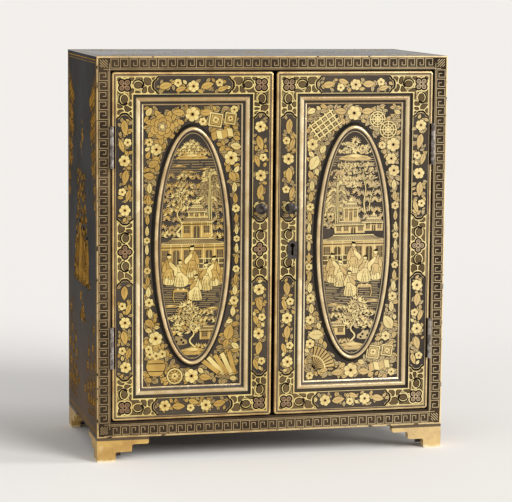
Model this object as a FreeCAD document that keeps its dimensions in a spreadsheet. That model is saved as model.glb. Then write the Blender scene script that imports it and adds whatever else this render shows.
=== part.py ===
import FreeCAD, Part
import os
import re
import Sketcher

# A lacquered table cabinet: a mitred case on stepped bracket feet, closed by two panelled doors.
# The doors hang on butt hinges. The right one carries a lock, the left one a pair of flush bolts.
# X runs to the right, Y to the back and Z up, in millimetres. The origin lies on the floor, under
# the middle of the cabinet's box, knobs included.

SIZES = {
    # the case
    "cabinet_width": 356.0,
    "cabinet_depth": 184.0,
    "cabinet_height": 400.0,
    "side_thickness": 14.0,
    "top_thickness": 14.0,
    "bottom_thickness": 15.5,
    "back_thickness": 7.0,
    "back_lap": 6.0,
    "arris_radius": 1.0,
    "wood_clearance": 0.2,
    # stepped bracket feet and the glue blocks behind them
    "foot_height": 24.0,
    "bracket_thickness": 9.0,
    "foot_reach": 52.0,
    "foot_middle_reach": 35.0,
    "foot_toe_reach": 18.5,
    "foot_middle_height": 17.0,
    "foot_toe_height": 9.5,
    "foot_softening": 2.0,
    "block_leg": 16.0,
    "block_lift": 4.0,
    # shelves and door stops
    "shelf_thickness": 8.0,
    "lower_shelf_rise": 108.0,
    "upper_shelf_rise": 226.0,
    "shelf_nosing": 2.0,
    "shelf_setback": 4.0,
    "cleat_height": 9.0,
    "cleat_width": 7.0,
    "stop_height": 7.0,
    "stop_thickness": 6.0,
    "stop_gap": 0.3,
    # door frames and panels
    "door_thickness": 15.0,
    "side_gap": 1.0,
    "top_gap": 1.2,
    "bottom_gap": 1.5,
    "meeting_gap": 3.4,
    "stile_width": 21.0,
    "rail_width": 22.0,
    "door_edge_radius": 1.6,
    "door_corner_radius": 3.0,
    "panel_setback": 4.5,
    "panel_thickness": 5.0,
    "groove_depth": 3.2,
    "tongue_depth": 3.0,
    "groove_clearance": 0.1,
    # bead moulding round each panel
    "moulding_width": 10.5,
    "quirk_width": 2.6,
    "quirk_setback": 2.2,
    "bead_width": 4.4,
    "bead_round": 1.9,
    "moulding_lip": 0.6,
    # raised oval medallions
    "medallion_side_margin": 7.85,
    "medallion_end_margin": 18.4,
    "medallion_rise": 3.2,
    "flank_run": 2.8,
    "oval_bead_margin": 0.3,
    "oval_bead_radius": 1.7,
    # butt hinges
    "hinge_height": 41.0,
    "hinge_inset": 73.0,
    "knuckle_count": 3,
    "knuckle_gap": 0.15,
    "barrel_diameter": 4.2,
    "barrel_proud": 1.2,
    "barrel_relief": 2.0,
    "web_length": 0.4,
    "pin_diameter": 2.0,
    "running_clearance": 0.05,
    "leaf_width": 10.0,
    "leaf_thickness": 1.2,
    "leaf_clearance": 0.2,
    "metal_clearance": 0.05,
    # lock, keyhole and strike
    "keyhole_height": 212.0,
    "keyhole_backset": 17.2,
    "keyhole_radius": 2.2,
    "keyhole_slot_width": 2.2,
    "keyhole_slot_drop": 10.0,
    "key_pin_radius": 1.0,
    "escutcheon_width": 9.7,
    "escutcheon_height": 18.6,
    "escutcheon_rise": 5.0,
    "escutcheon_thickness": 0.8,
    "escutcheon_top_round": 4.6,
    "escutcheon_foot_round": 2.4,
    "lock_case_width": 27.0,
    "lock_case_height": 32.0,
    "lock_case_depth": 5.2,
    "lock_case_rise": 3.0,
    "lock_wall": 1.2,
    "lock_bolt_length": 20.0,
    "lock_bolt_height": 9.0,
    "lock_bolt_thickness": 2.4,
    "lock_bolt_rise": 8.0,
    "talon_width": 4.0,
    "talon_depth": 3.0,
    "lock_throw": 7.0,
    "slide_clearance": 0.3,
    "strike_width": 5.0,
    "strike_height": 22.0,
    "strike_thickness": 1.0,
    "strike_spare": 2.0,
    # knobs
    "knob_height": 250.0,
    "knob_backset": 13.6,
    "knob_projection": 11.0,
    "rose_diameter": 9.0,
    "rose_thickness": 1.6,
    "rose_bevel": 1.0,
    "neck_diameter": 4.4,
    "head_diameter": 11.4,
    "head_thickness": 5.4,
    "head_bevel": 1.6,
    "crown_height": 1.8,
    "crown_run": 3.0,
    "spigot_diameter": 4.0,
    "spigot_length": 10.0,
    "spigot_clearance": 0.1,
    # flush bolts of the left door
    "flush_backset": 9.0,
    "flush_setback": 5.7,
    "flush_rod_diameter": 4.0,
    "flush_rod_length": 34.0,
    "flush_travel": 6.0,
    "flush_socket_spare": 1.5,
    "flush_plate_width": 9.0,
    "flush_plate_height": 42.0,
    "flush_plate_thickness": 1.4,
    "flush_plate_inset": 5.0,
    "flush_stud_drop": 24.0,
    "flush_stud_diameter": 3.0,
    "flush_stud_proud": 1.6,
}

# Places that several pieces share, each worked out from the sizes above.
PLACES = {
    "half_width": "cabinet_width / 2",
    "front": "-(cabinet_depth - knob_projection) / 2",
    "back": "(cabinet_depth + knob_projection) / 2",
    "inner_side": "half_width - side_thickness",
    "inner_top": "cabinet_height - top_thickness",
    "inner_bottom": "foot_height + bottom_thickness",
    "back_face": "back - back_thickness",
    "door_outer": "inner_side - side_gap",
    "door_meeting": "meeting_gap / 2",
    "door_top": "inner_top - top_gap",
    "door_bottom": "inner_bottom + bottom_gap",
    "door_back": "front + door_thickness",
    "door_middle": "(door_top + door_bottom) / 2",
    "door_centre": "(door_outer + door_meeting) / 2",
    "hinge_stile_edge": "door_outer - stile_width",
    "meeting_stile_edge": "door_meeting + stile_width",
    "top_rail_edge": "door_top - rail_width",
    "bottom_rail_edge": "door_bottom + rail_width",
    "panel_front": "front + panel_setback",
    "panel_back": "panel_front + panel_thickness",
    "groove_front": "panel_front - groove_clearance",
    "groove_back": "panel_back + groove_clearance",
    "plateau": "panel_front - medallion_rise",
    "opening_width": "hinge_stile_edge - meeting_stile_edge - 2 * moulding_width",
    "opening_height": "top_rail_edge - bottom_rail_edge - 2 * moulding_width",
    "medallion_half_width": "opening_width / 2 - medallion_side_margin",
    "medallion_half_height": "opening_height / 2 - medallion_end_margin",
    "oval_bead_inset": "flank_run + oval_bead_margin + oval_bead_radius",
    "hinge_x": "inner_side - side_gap / 2",
    "hinge_y": "front - barrel_proud",
    "leaf_front": "hinge_y + barrel_diameter / 2 + web_length",
    "leaf_back": "leaf_front + leaf_width",
    "leaf_near": "leaf_clearance / 2",
    "leaf_far": "leaf_clearance / 2 + leaf_thickness",
    "stop_front": "door_back + stop_gap",
    "shelf_front": "stop_front + stop_thickness + shelf_setback",
    "shelf_end": "inner_side - wood_clearance",
    "keyhole_x": "door_meeting + keyhole_backset",
    "lock_bottom": "keyhole_height + lock_case_rise - lock_case_height / 2",
    "lock_front": "door_back - lock_case_depth",
    "bolt_back": "door_back - lock_wall - slide_clearance",
    "bolt_front": "bolt_back - lock_bolt_thickness",
    "bolt_bottom": "keyhole_height + lock_bolt_rise - lock_bolt_height / 2",
    "bolt_top": "bolt_bottom + lock_bolt_height",
    "strike_centre": "(bolt_front + bolt_back) / 2",
    "strike_bed": "-door_meeting - strike_thickness - metal_clearance",
    "strike_floor": "door_meeting + slide_clearance - lock_throw - strike_spare",
    "knob_x": "door_meeting + knob_backset",
    "flush_x": "door_meeting + flush_backset",
    "flush_y": "door_back - flush_setback",
    "flush_bore_radius": "flush_rod_diameter / 2 + slide_clearance",
    "flush_plate_front": "door_back - flush_plate_thickness",
}

SIDES = {"left": -1, "right": 1}
HINGE_ROWS = {"upper": "door_top - hinge_inset", "lower": "door_bottom + hinge_inset"}
SHELVES = {"upper": "upper_shelf_rise", "lower": "lower_shelf_rise"}
FLUSH_BOLTS = {"upper": ("door_top", -1), "lower": ("door_bottom", 1)}

# Which way each plane's own normal points along its world axis.
NORMALS = {"XY_Plane": 1, "XZ_Plane": -1, "YZ_Plane": 1}
# Where the oval bead's rounding is taken, in degrees from its foot to its crest.
BEAD_ANGLES = (0, 30, 60, 90)
FULL_TURN = 360
TOLERANCE = 0.001
OUTWARD = FreeCAD.Rotation(FreeCAD.Vector(1, 0, 0), 90)
UPRIGHT_OVAL = FreeCAD.Rotation(FreeCAD.Vector(1, 1, 1), -120)

doc = FreeCAD.newDocument("table_cabinet")
sheet = doc.addObject("Spreadsheet::Sheet", "Sizes")
for row, (alias, size) in enumerate(SIZES.items(), start=1):
    sheet.set(f"A{row}", alias)
    sheet.set(f"B{row}", str(size))
    sheet.setAlias(f"B{row}", alias)
doc.recompute()

pieces = []


def formula(text):
    """Write a formula with its places worked out and its sizes read from the sheet."""

    def lookup(match):
        word = match.group(0)
        if word in PLACES:
            return "(" + formula(PLACES[word]) + ")"
        return "Sizes." + word if word in SIZES else word

    return re.sub(r"[a-z][a-z_]*", lookup, text)


def number(text):
    """The present value of a formula."""
    return float(sheet.evalExpression(formula(text)))


def bind(item, setting, text):
    """Tie one setting of an object to a formula."""
    item.setExpression(setting, formula(text))


def ordered(one, other):
    """Two formulas, the smaller first."""
    return (one, other) if number(one) <= number(other) else (other, one)


def signed(side, text):
    """A formula taken to the left (-1) or the right (1) of the middle plane."""
    return f"{side} * ({text})"


def keep(item, label):
    """Name a finished piece and put it on the list of nodes."""
    item.Label = label
    pieces.append(item)
    return item


def new_body(label):
    """An empty body that becomes a piece of its own."""
    return keep(doc.addObject("PartDesign::Body", label), label)


def new_sketch(body, plane, level):
    """A sketch on one of the body's own planes, moved to a level along that plane's world axis."""
    sketch = body.newObject("Sketcher::SketchObject", "outline")
    planes = {feature.Role: feature for feature in body.Origin.OriginFeatures}
    sketch.AttachmentSupport = [(planes[plane], "")]
    sketch.MapMode = "FlatFace"
    bind(sketch, "AttachmentOffset.Base.z", signed(NORMALS[plane], level))
    return sketch


def constrain(sketch, kind, element, point, text):
    """Hold one coordinate of a point at a formula."""
    rule = Sketcher.Constraint(kind, element, point, number(text))
    sketch.setExpression(f"Constraints[{sketch.addConstraint(rule)}]", formula(text))


def draw_outline(sketch, corners):
    """A closed outline of straight lines through corners that are pairs of formulas."""
    first = sketch.GeometryCount
    count = len(corners)
    spots = [FreeCAD.Vector(number(x), number(y), 0) for x, y in corners]
    for index in range(count):
        sketch.addGeometry(Part.LineSegment(spots[index], spots[(index + 1) % count]))
    for index, (x, y) in enumerate(corners):
        following = first + (index + 1) % count
        sketch.addConstraint(Sketcher.Constraint("Coincident", first + index, 2, following, 1))
        constrain(sketch, "DistanceX", first + index, 1, x)
        constrain(sketch, "DistanceY", first + index, 1, y)


def draw_circle(sketch, x, y, radius):
    """A circle with its centre and radius held by formulas."""
    centre = FreeCAD.Vector(number(x), number(y), 0)
    element = sketch.addGeometry(Part.Circle(centre, FreeCAD.Vector(0, 0, 1), number(radius)))
    constrain(sketch, "DistanceX", element, 3, x)
    constrain(sketch, "DistanceY", element, 3, y)
    rule = Sketcher.Constraint("Radius", element, number(radius))
    sketch.setExpression(f"Constraints[{sketch.addConstraint(rule)}]", formula(radius))


def rectangle(across, up):
    """The four corners between two pairs of formulas."""
    return [(across[0], up[0]), (across[1], up[0]), (across[1], up[1]), (across[0], up[1])]


def extrude(body, kind, plane, start, end, corners=None, circle=None):
    """Pad or pocket an outline or a circle from one level to a higher one."""
    sketch = new_sketch(body, plane, start)
    if circle:
        draw_circle(sketch, *circle)
    else:
        draw_outline(sketch, corners)
    feature = body.newObject("PartDesign::" + kind, kind.lower())
    feature.Profile = sketch
    bind(feature, "Length", f"({end}) - ({start})")
    forward = NORMALS[plane] > 0
    feature.Reversed = forward if kind == "Pocket" else not forward
    return feature


def pad(body, plane, start, end, corners=None, circle=None):
    """Add material to a body."""
    return extrude(body, "Pad", plane, start, end, corners, circle)


def pocket(body, plane, start, end, corners=None, circle=None):
    """Take material from a body."""
    return extrude(body, "Pocket", plane, start, end, corners, circle)


def soften(body, radius, axis, spots):
    """Round the straight edges that run along an axis through pairs of formulas."""
    doc.recompute()
    others = [name for name in "xyz" if name != axis]
    wanted = [[number(text) for text in spot] for spot in spots]
    names = []
    for index, edge in enumerate(body.Shape.Edges, start=1):
        if not isinstance(edge.Curve, Part.Line):
            continue
        run = edge.lastVertex().Point - edge.firstVertex().Point
        if abs(abs(getattr(run, axis)) - run.Length) > TOLERANCE:
            continue
        place = [getattr(edge.CenterOfMass, name) for name in others]
        if any(max(abs(a - b) for a, b in zip(place, spot)) < TOLERANCE for spot in wanted):
            names.append(f"Edge{index}")
    if not names:
        raise ValueError(f"{body.Label}: no edge to round")
    base = body.Tip
    fillet = body.newObject("PartDesign::Fillet", "rounding")
    fillet.Base = (base, names)
    bind(fillet, "Radius", radius)


def block(name, across, along, up):
    """A box between three pairs of formulas."""
    item = doc.addObject("Part::Box", name)
    for setting, letter, ends in zip(("Length", "Width", "Height"), "xyz", (across, along, up)):
        low, high = ordered(*ends)
        bind(item, setting, f"({high}) - ({low})")
        bind(item, f"Placement.Base.{letter}", low)
    return item


def place(item, x, y, z, rotation=None):
    """Turn an object, then tie its place to three formulas."""
    if rotation:
        item.Placement = FreeCAD.Placement(FreeCAD.Vector(), rotation)
    for letter, text in zip("xyz", (x, y, z)):
        bind(item, f"Placement.Base.{letter}", text)
    return item


def rod(name, radius, length, x, y, z, rotation=None):
    """A round bar that starts at a place."""
    item = doc.addObject("Part::Cylinder", name)
    bind(item, "Radius", radius)
    bind(item, "Height", length)
    return place(item, x, y, z, rotation)


def joined(name, items):
    """Several solids fused into one."""
    fuse = doc.addObject("Part::MultiFuse", name)
    fuse.Shapes = items
    return fuse


def cut(name, base, tool):
    """One solid less another."""
    item = doc.addObject("Part::Cut", name)
    item.Base = base
    item.Tool = tool
    return item


def group(label, items):
    """Separate solids that share one node."""
    item = doc.addObject("Part::Compound", label)
    item.Links = items
    return keep(item, label)


def hinge_mortises(body, side, toward):
    """Let the leaves and barrels of one side's hinges into a stile (-1) or a case side (1)."""
    bed = f"hinge_x + {toward} * (leaf_far + metal_clearance)"
    across = (signed(side, "hinge_x"), signed(side, bed))
    depth = ("hinge_y", "leaf_back + metal_clearance")
    barrel = (signed(side, "hinge_x"), "hinge_y", "barrel_diameter / 2 + barrel_relief")
    for centre in HINGE_ROWS.values():
        low = f"{centre} - hinge_height / 2 - metal_clearance"
        high = f"{centre} + hinge_height / 2 + metal_clearance"
        pocket(body, "XY_Plane", low, high, corners=rectangle(across, depth))
        pocket(body, "XY_Plane", low, high, circle=barrel)


def flat_board(label, outer, inner, lap):
    """The top or bottom of the case: mitred ends, and a rebate for the back panel."""
    body = new_body(label)
    mitred = [
        ("-half_width", outer),
        ("half_width", outer),
        ("inner_side", inner),
        ("-inner_side", inner),
    ]
    thinned = [
        ("-half_width", outer),
        ("half_width", outer),
        ("inner_side + back_lap", lap),
        ("-inner_side - back_lap", lap),
    ]
    pad(body, "XZ_Plane", "front", "back_face", corners=mitred)
    pad(body, "XZ_Plane", "back_face", "back", corners=thinned)
    soften(body, "arris_radius", "x", [("front", outer)])
    return body


def side_board(label, side):
    """One side of the case, with its mitres, its back rebate and its hinge mortises."""
    body = new_body(label)
    outer = signed(side, "half_width")
    inner = signed(side, "inner_side")
    lap = signed(side, "inner_side + back_lap")
    mitred = [
        (outer, "foot_height"),
        (outer, "cabinet_height"),
        (inner, "inner_top"),
        (inner, "inner_bottom"),
    ]
    thinned = [
        (outer, "foot_height"),
        (outer, "cabinet_height"),
        (lap, "inner_top + back_lap"),
        (lap, "inner_bottom - back_lap"),
    ]
    pad(body, "XZ_Plane", "front", "back_face", corners=mitred)
    pad(body, "XZ_Plane", "back_face", "back", corners=thinned)
    soften(body, "arris_radius", "z", [(outer, "front")])
    hinge_mortises(body, side, 1)


def flush_socket(body, low, high):
    """The hole in a case board that a flush bolt slides into."""
    pocket(body, "XY_Plane", low, high, circle=("-flush_x", "flush_y", "flush_bore_radius"))


def build_case():
    """Four mitred boards, the back panel, and the strips that stop the doors."""
    top = flat_board("top_board", "cabinet_height", "inner_top", "inner_top + back_lap")
    flush_socket(top, "inner_top", "inner_top + flush_travel + flush_socket_spare")
    bottom = flat_board("bottom_board", "foot_height", "inner_bottom", "inner_bottom - back_lap")
    flush_socket(bottom, "inner_bottom - flush_travel - flush_socket_spare", "inner_bottom")
    for name, side in SIDES.items():
        side_board(f"{name}_side", side)
    reach = "inner_side + back_lap - wood_clearance"
    low = "inner_bottom - back_lap + wood_clearance"
    high = "inner_top + back_lap - wood_clearance"
    keep(block("back_panel", (f"-({reach})", reach), ("back_face", "back"), (low, high)), "back_panel")
    stop_depth = ("stop_front", "stop_front + stop_thickness")
    stop_width = ("-shelf_end", "shelf_end")
    top_stop = block("top_stop", stop_width, stop_depth, ("inner_top - stop_height", "inner_top"))
    keep(top_stop, "top_stop")
    low_rise = ("inner_bottom", "inner_bottom + stop_height")
    keep(block("bottom_stop", stop_width, stop_depth, low_rise), "bottom_stop")


def build_shelves():
    """Two shelves with rounded nosings, each on a pair of cleats."""
    for name, rise in SHELVES.items():
        seat = f"inner_bottom + {rise}"
        shelf = new_body(f"{name}_shelf")
        board = rectangle(("shelf_front", "back_face - wood_clearance"), (seat, f"{seat} + shelf_thickness"))
        pad(shelf, "YZ_Plane", "-shelf_end", "shelf_end", corners=board)
        soften(shelf, "shelf_nosing", "x", [("shelf_front", f"{seat} + shelf_thickness")])
        for side_name, side in SIDES.items():
            across = (signed(side, "inner_side"), signed(side, "inner_side - cleat_width"))
            along = ("shelf_front + shelf_setback", "back_face - wood_clearance")
            label = f"{name}_{side_name}_cleat"
            keep(block(label, across, along, (f"{seat} - cleat_height", seat)), label)


def foot_outline(corner, inward):
    """The stepped outline of a bracket, from its outer corner along the cabinet."""
    steps = [
        ("0", "0"),
        ("foot_toe_reach", "0"),
        ("foot_toe_reach", "foot_toe_height"),
        ("foot_middle_reach", "foot_toe_height"),
        ("foot_middle_reach", "foot_middle_height"),
        ("foot_reach", "foot_middle_height"),
        ("foot_reach", "foot_height"),
        ("0", "foot_height"),
    ]
    return [(f"{corner} + {inward} * {reach}", height) for reach, height in steps]


def build_foot(end, side_name, side):
    """Two mitred brackets and the glue block behind them, at one corner."""
    x_face = signed(side, "half_width")
    x_inner = signed(side, "half_width - bracket_thickness")
    y_face = "front" if end == "front" else "back"
    y_inward = 1 if end == "front" else -1
    y_inner = f"{y_face} + {y_inward} * bracket_thickness"

    across = new_body(f"{end}_{side_name}_foot_{y_face}")
    outline = foot_outline(x_face, -side)
    pad(across, "XZ_Plane", *ordered(y_face, y_inner), corners=outline)
    soften(across, "foot_softening", "y", outline[1:6])
    waste = [(x_face, y_face), (x_face, y_inner), (x_inner, y_inner)]
    pocket(across, "XY_Plane", "0", "foot_height", corners=waste)

    along = new_body(f"{end}_{side_name}_foot_side")
    outline = foot_outline(y_face, y_inward)
    pad(along, "YZ_Plane", *ordered(x_face, x_inner), corners=outline)
    soften(along, "foot_softening", "x", outline[1:6])
    waste = [(x_face, y_face), (x_inner, y_face), (x_inner, y_inner)]
    pocket(along, "XY_Plane", "0", "foot_height", corners=waste)

    glue = doc.addObject("PartDesign::Body", f"{end}_{side_name}_block")
    corners = [
        (x_inner, y_inner),
        (f"{x_inner} - {side} * block_leg", y_inner),
        (x_inner, f"{y_inner} + {y_inward} * block_leg"),
    ]
    pad(glue, "XY_Plane", "block_lift", "foot_height", corners=corners)
    return glue


def build_feet():
    """Four bracket feet."""
    blocks = [
        build_foot(end, side_name, side)
        for end in ("front", "rear")
        for side_name, side in SIDES.items()
    ]
    group("foot_blocks", blocks)


def stile(label, side, outer, edge, inward):
    """One upright of a door frame, grooved for the panel and rounded on its outer edge."""
    body = new_body(label)
    face, inner = signed(side, outer), signed(side, edge)
    groove = signed(side, f"{edge} - {inward} * groove_depth")
    section = [
        (face, "front"),
        (inner, "front"),
        (inner, "groove_front"),
        (groove, "groove_front"),
        (groove, "groove_back"),
        (inner, "groove_back"),
        (inner, "door_back"),
        (face, "door_back"),
    ]
    pad(body, "XY_Plane", "door_bottom", "door_top", corners=section)
    soften(body, "door_corner_radius", "y", [(face, "door_bottom"), (face, "door_top")])
    soften(body, "door_edge_radius", "z", [(face, "front")])
    return body


def rail(label, side, outer, edge, inward):
    """One cross piece of a door frame, with a stub tenon at each end."""
    body = new_body(label)
    groove = f"{edge} - {inward} * groove_depth"
    section = [
        ("front", outer),
        ("front", edge),
        ("groove_front", edge),
        ("groove_front", groove),
        ("groove_back", groove),
        ("groove_back", edge),
        ("door_back", edge),
        ("door_back", outer),
    ]
    ends = ordered(signed(side, "meeting_stile_edge"), signed(side, "hinge_stile_edge"))
    pad(body, "YZ_Plane", *ends, corners=section)
    soften(body, "door_edge_radius", "x", [("front", outer)])
    tenon = rectangle(("panel_front", "panel_back"), (groove, outer))
    pad(body, "YZ_Plane", f"{ends[0]} - tongue_depth", f"{ends[1]} + tongue_depth", corners=tenon)


def moulding_profile(start, inward, level_first):
    """The section of the bead moulding: quirk, square for the bead, slope and lip."""
    steps = [
        ("0", "quirk_setback"),
        ("quirk_width", "quirk_setback"),
        ("quirk_width", "0"),
        ("quirk_width + bead_width", "0"),
        ("quirk_width + bead_width", "quirk_setback"),
        ("moulding_width", "panel_setback - moulding_lip"),
        ("moulding_width", "panel_setback"),
        ("0", "panel_setback"),
    ]
    spots = [(f"{start} + {inward} * ({across})", f"front + {depth}") for across, depth in steps]
    return [(depth, across) for across, depth in spots] if level_first else spots


def mitre_waste(low, high, edge, inward):
    """The two corners sawn off a strip, as triangles in its own length and width."""
    inner = f"{edge} + {inward} * moulding_width"
    first = [(low, edge), (low, inner), (f"{low} + moulding_width", inner)]
    last = [(high, edge), (high, inner), (f"{high} - moulding_width", inner)]
    return first, last


def build_moulding(name, side):
    """Four mitred strips of bead moulding round one panel."""
    strips = []
    x_ends = ordered(signed(side, "meeting_stile_edge"), signed(side, "hinge_stile_edge"))
    z_ends = ("bottom_rail_edge", "top_rail_edge")
    for index, inward in enumerate((1, -1)):
        flat = doc.addObject("PartDesign::Body", f"{name}_flat_strip")
        profile = moulding_profile(z_ends[index], inward, True)
        pad(flat, "YZ_Plane", *x_ends, corners=profile)
        soften(flat, "bead_round", "x", profile[2:4])
        for waste in mitre_waste(*x_ends, z_ends[index], inward):
            pocket(flat, "XZ_Plane", "front", "panel_front", corners=waste)
        upright = doc.addObject("PartDesign::Body", f"{name}_upright_strip")
        profile = moulding_profile(x_ends[index], inward, False)
        pad(upright, "XY_Plane", *z_ends, corners=profile)
        soften(upright, "bead_round", "z", profile[2:4])
        for waste in mitre_waste(*z_ends, x_ends[index], inward):
            turned = [(across, up) for up, across in waste]
            pocket(upright, "XZ_Plane", "front", "panel_front", corners=turned)
        strips += [flat, upright]
    group(f"{name}_moulding", strips)


def oval(name, inset, side, level):
    """An upright oval line, a set distance inside the medallion's foot."""
    item = doc.addObject("Part::Ellipse", name)
    bind(item, "MajorRadius", f"medallion_half_height - ({inset})")
    bind(item, "MinorRadius", f"medallion_half_width - ({inset})")
    return place(item, signed(side, "door_centre"), level, "door_middle", UPRIGHT_OVAL)


def oval_loft(name, sections):
    """A solid with straight walls from each oval to the next."""
    item = doc.addObject("Part::Loft", name)
    item.Sections = sections
    item.Solid = True
    item.Ruled = True
    return item


def bead_flank(name, side, outward):
    """A solid whose wall climbs one flank of the oval bead, from its foot to its crest."""
    sections = []
    for angle in BEAD_ANGLES:
        inset = f"oval_bead_inset - {outward} * oval_bead_radius * cos({angle})"
        level = f"plateau - oval_bead_radius * sin({angle})"
        sections.append(oval(f"{name}_line", inset, side, level))
    return oval_loft(name, sections)


def build_medallion(name, side):
    """The raised oval with sloping flanks, and the half-round bead on its rim."""
    foot = oval(f"{name}_foot_line", "0", side, "panel_front")
    rim = oval(f"{name}_rim_line", "flank_run", side, "plateau")
    keep(oval_loft(f"{name}_medallion", [foot, rim]), f"{name}_medallion")
    outer = bead_flank(f"{name}_bead_outer", side, 1)
    inner = bead_flank(f"{name}_bead_inner", side, -1)
    keep(cut(f"{name}_medallion_bead", outer, inner), f"{name}_medallion_bead")


def keyhole(body, start, end):
    """Cut a keyhole, a round head over a straight slot, through part of the right door."""
    pocket(body, "XZ_Plane", start, end, circle=("keyhole_x", "keyhole_height", "keyhole_radius"))
    slot = rectangle(
        ("keyhole_x - keyhole_slot_width / 2", "keyhole_x + keyhole_slot_width / 2"),
        ("keyhole_height - keyhole_slot_drop", "keyhole_height"),
    )
    pocket(body, "XZ_Plane", start, end, corners=slot)


def build_panel(name, side):
    """A flat panel whose edges sit in the grooves of the frame."""
    body = new_body(f"{name}_panel")
    across = (
        signed(side, "meeting_stile_edge - tongue_depth"),
        signed(side, "hinge_stile_edge + tongue_depth"),
    )
    up = ("bottom_rail_edge - tongue_depth", "top_rail_edge + tongue_depth")
    pad(body, "XZ_Plane", "panel_front", "panel_back", corners=rectangle(across, up))
    return body


def knob_hole(body, side):
    """The hole in a meeting stile that a knob's spigot fills."""
    end = "front + spigot_length + spigot_clearance"
    bore = (signed(side, "knob_x"), "knob_height", "spigot_diameter / 2 + spigot_clearance")
    pocket(body, "XZ_Plane", "front", end, circle=bore)


def lock_mortise(body):
    """Make room in the right meeting stile for the lock."""
    across = ("door_meeting", "meeting_stile_edge")
    up = (
        "lock_bottom - metal_clearance",
        "lock_bottom + lock_case_height + metal_clearance",
    )
    pocket(body, "XZ_Plane", "lock_front - metal_clearance", "door_back", corners=rectangle(across, up))
    keyhole(body, "front", "lock_front - metal_clearance")


def strike_mortise(body):
    """Make room in the left meeting stile for the strike plate and the bolt behind it."""
    plate = rectangle(
        (
            "strike_centre - strike_width / 2 - metal_clearance",
            "strike_centre + strike_width / 2 + metal_clearance",
        ),
        (
            "(bolt_bottom + bolt_top) / 2 - strike_height / 2 - metal_clearance",
            "(bolt_bottom + bolt_top) / 2 + strike_height / 2 + metal_clearance",
        ),
    )
    pocket(body, "YZ_Plane", "strike_bed", "-door_meeting", corners=plate)
    pocket(body, "YZ_Plane", "strike_floor", "strike_bed", corners=strike_slot())


def strike_slot():
    """The outline of the hole that the lock bolt enters."""
    return rectangle(
        ("bolt_front - slide_clearance", "bolt_back + slide_clearance"),
        ("bolt_bottom - slide_clearance", "bolt_top + slide_clearance"),
    )


def flush_levels(edge, inward, *distances):
    """Heights a set way into the door from its top or bottom edge, the lower first."""
    return ordered(*[f"{edge} + {inward} * ({distance})" for distance in distances])


def flush_slot(edge, inward):
    """The outline of the slot that a flush bolt's stud runs in."""
    half = "(flush_stud_diameter / 2 + slide_clearance)"
    up = flush_levels(edge, inward, f"flush_stud_drop - flush_travel - {half}", f"flush_stud_drop + {half}")
    return rectangle((f"-flush_x - {half}", f"-flush_x + {half}"), up)


def flush_mortise(body, edge, inward):
    """Bore a meeting stile for a flush bolt's rod, and let in its plate."""
    depth = "flush_rod_length + 2 * slide_clearance"
    bore = ("-flush_x", "flush_y", "flush_bore_radius")
    pocket(body, "XY_Plane", *flush_levels(edge, inward, "0", depth), circle=bore)
    half = "(flush_plate_width / 2 + metal_clearance)"
    ends = (
        "flush_plate_inset - metal_clearance",
        "flush_plate_inset + flush_plate_height + metal_clearance",
    )
    bed = rectangle((f"-flush_x - {half}", f"-flush_x + {half}"), flush_levels(edge, inward, *ends))
    pocket(body, "XZ_Plane", "flush_plate_front - metal_clearance", "door_back", corners=bed)
    pocket(body, "XZ_Plane", "flush_y", "flush_plate_front", corners=flush_slot(edge, inward))


def build_door(name, side):
    """One framed and panelled door."""
    hinge_stile = stile(f"{name}_hinge_stile", side, "door_outer", "hinge_stile_edge", -1)
    hinge_mortises(hinge_stile, side, -1)
    meeting_stile = stile(f"{name}_meeting_stile", side, "door_meeting", "meeting_stile_edge", 1)
    knob_hole(meeting_stile, side)
    rail(f"{name}_top_rail", side, "door_top", "top_rail_edge", -1)
    rail(f"{name}_bottom_rail", side, "door_bottom", "bottom_rail_edge", 1)
    panel = build_panel(name, side)
    if name == "right":
        lock_mortise(meeting_stile)
        keyhole(panel, "panel_front", "panel_back")
    else:
        strike_mortise(meeting_stile)
        for edge, inward in FLUSH_BOLTS.values():
            flush_mortise(meeting_stile, edge, inward)
    build_moulding(name, side)
    build_medallion(name, side)


def hinge_leaf(label, side, toward, centre, first):
    """One leaf with every second knuckle of the barrel, bored for the pin."""
    x = signed(side, "hinge_x")
    bottom = f"{centre} - hinge_height / 2"
    near = signed(side, f"hinge_x + {toward} * leaf_near")
    far = signed(side, f"hinge_x + {toward} * leaf_far")
    whole = (bottom, f"{centre} + hinge_height / 2")
    solids = [block(f"{label}_plate", (near, far), ("leaf_front", "leaf_back"), whole)]
    for index in range(first, int(number("knuckle_count")), 2):
        low = f"{bottom} + {index} * hinge_height / knuckle_count + knuckle_gap / 2"
        high = f"{bottom} + {index + 1} * hinge_height / knuckle_count - knuckle_gap / 2"
        length = "hinge_height / knuckle_count - knuckle_gap"
        solids.append(rod(f"{label}_knuckle", "barrel_diameter / 2", length, x, "hinge_y", low))
        solids.append(block(f"{label}_web", (near, far), ("hinge_y", "leaf_front"), (low, high)))
    bore = rod(f"{label}_bore", "pin_diameter / 2 + running_clearance", "hinge_height", x, "hinge_y", bottom)
    keep(cut(label, joined(f"{label}_solid", solids), bore), label)


def build_hinges():
    """Four butt hinges: a frame leaf, a door leaf and a pin each."""
    pins = []
    for name, side in SIDES.items():
        for row_name, centre in HINGE_ROWS.items():
            hinge_leaf(f"{name}_{row_name}_hinge_frame_leaf", side, 1, centre, 0)
            hinge_leaf(f"{name}_{row_name}_hinge_door_leaf", side, -1, centre, 1)
            spot = (signed(side, "hinge_x"), "hinge_y", f"{centre} - hinge_height / 2")
            pins.append(rod(f"{name}_{row_name}_pin", "pin_diameter / 2", "hinge_height", *spot))
    group("hinge_pins", pins)


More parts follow.
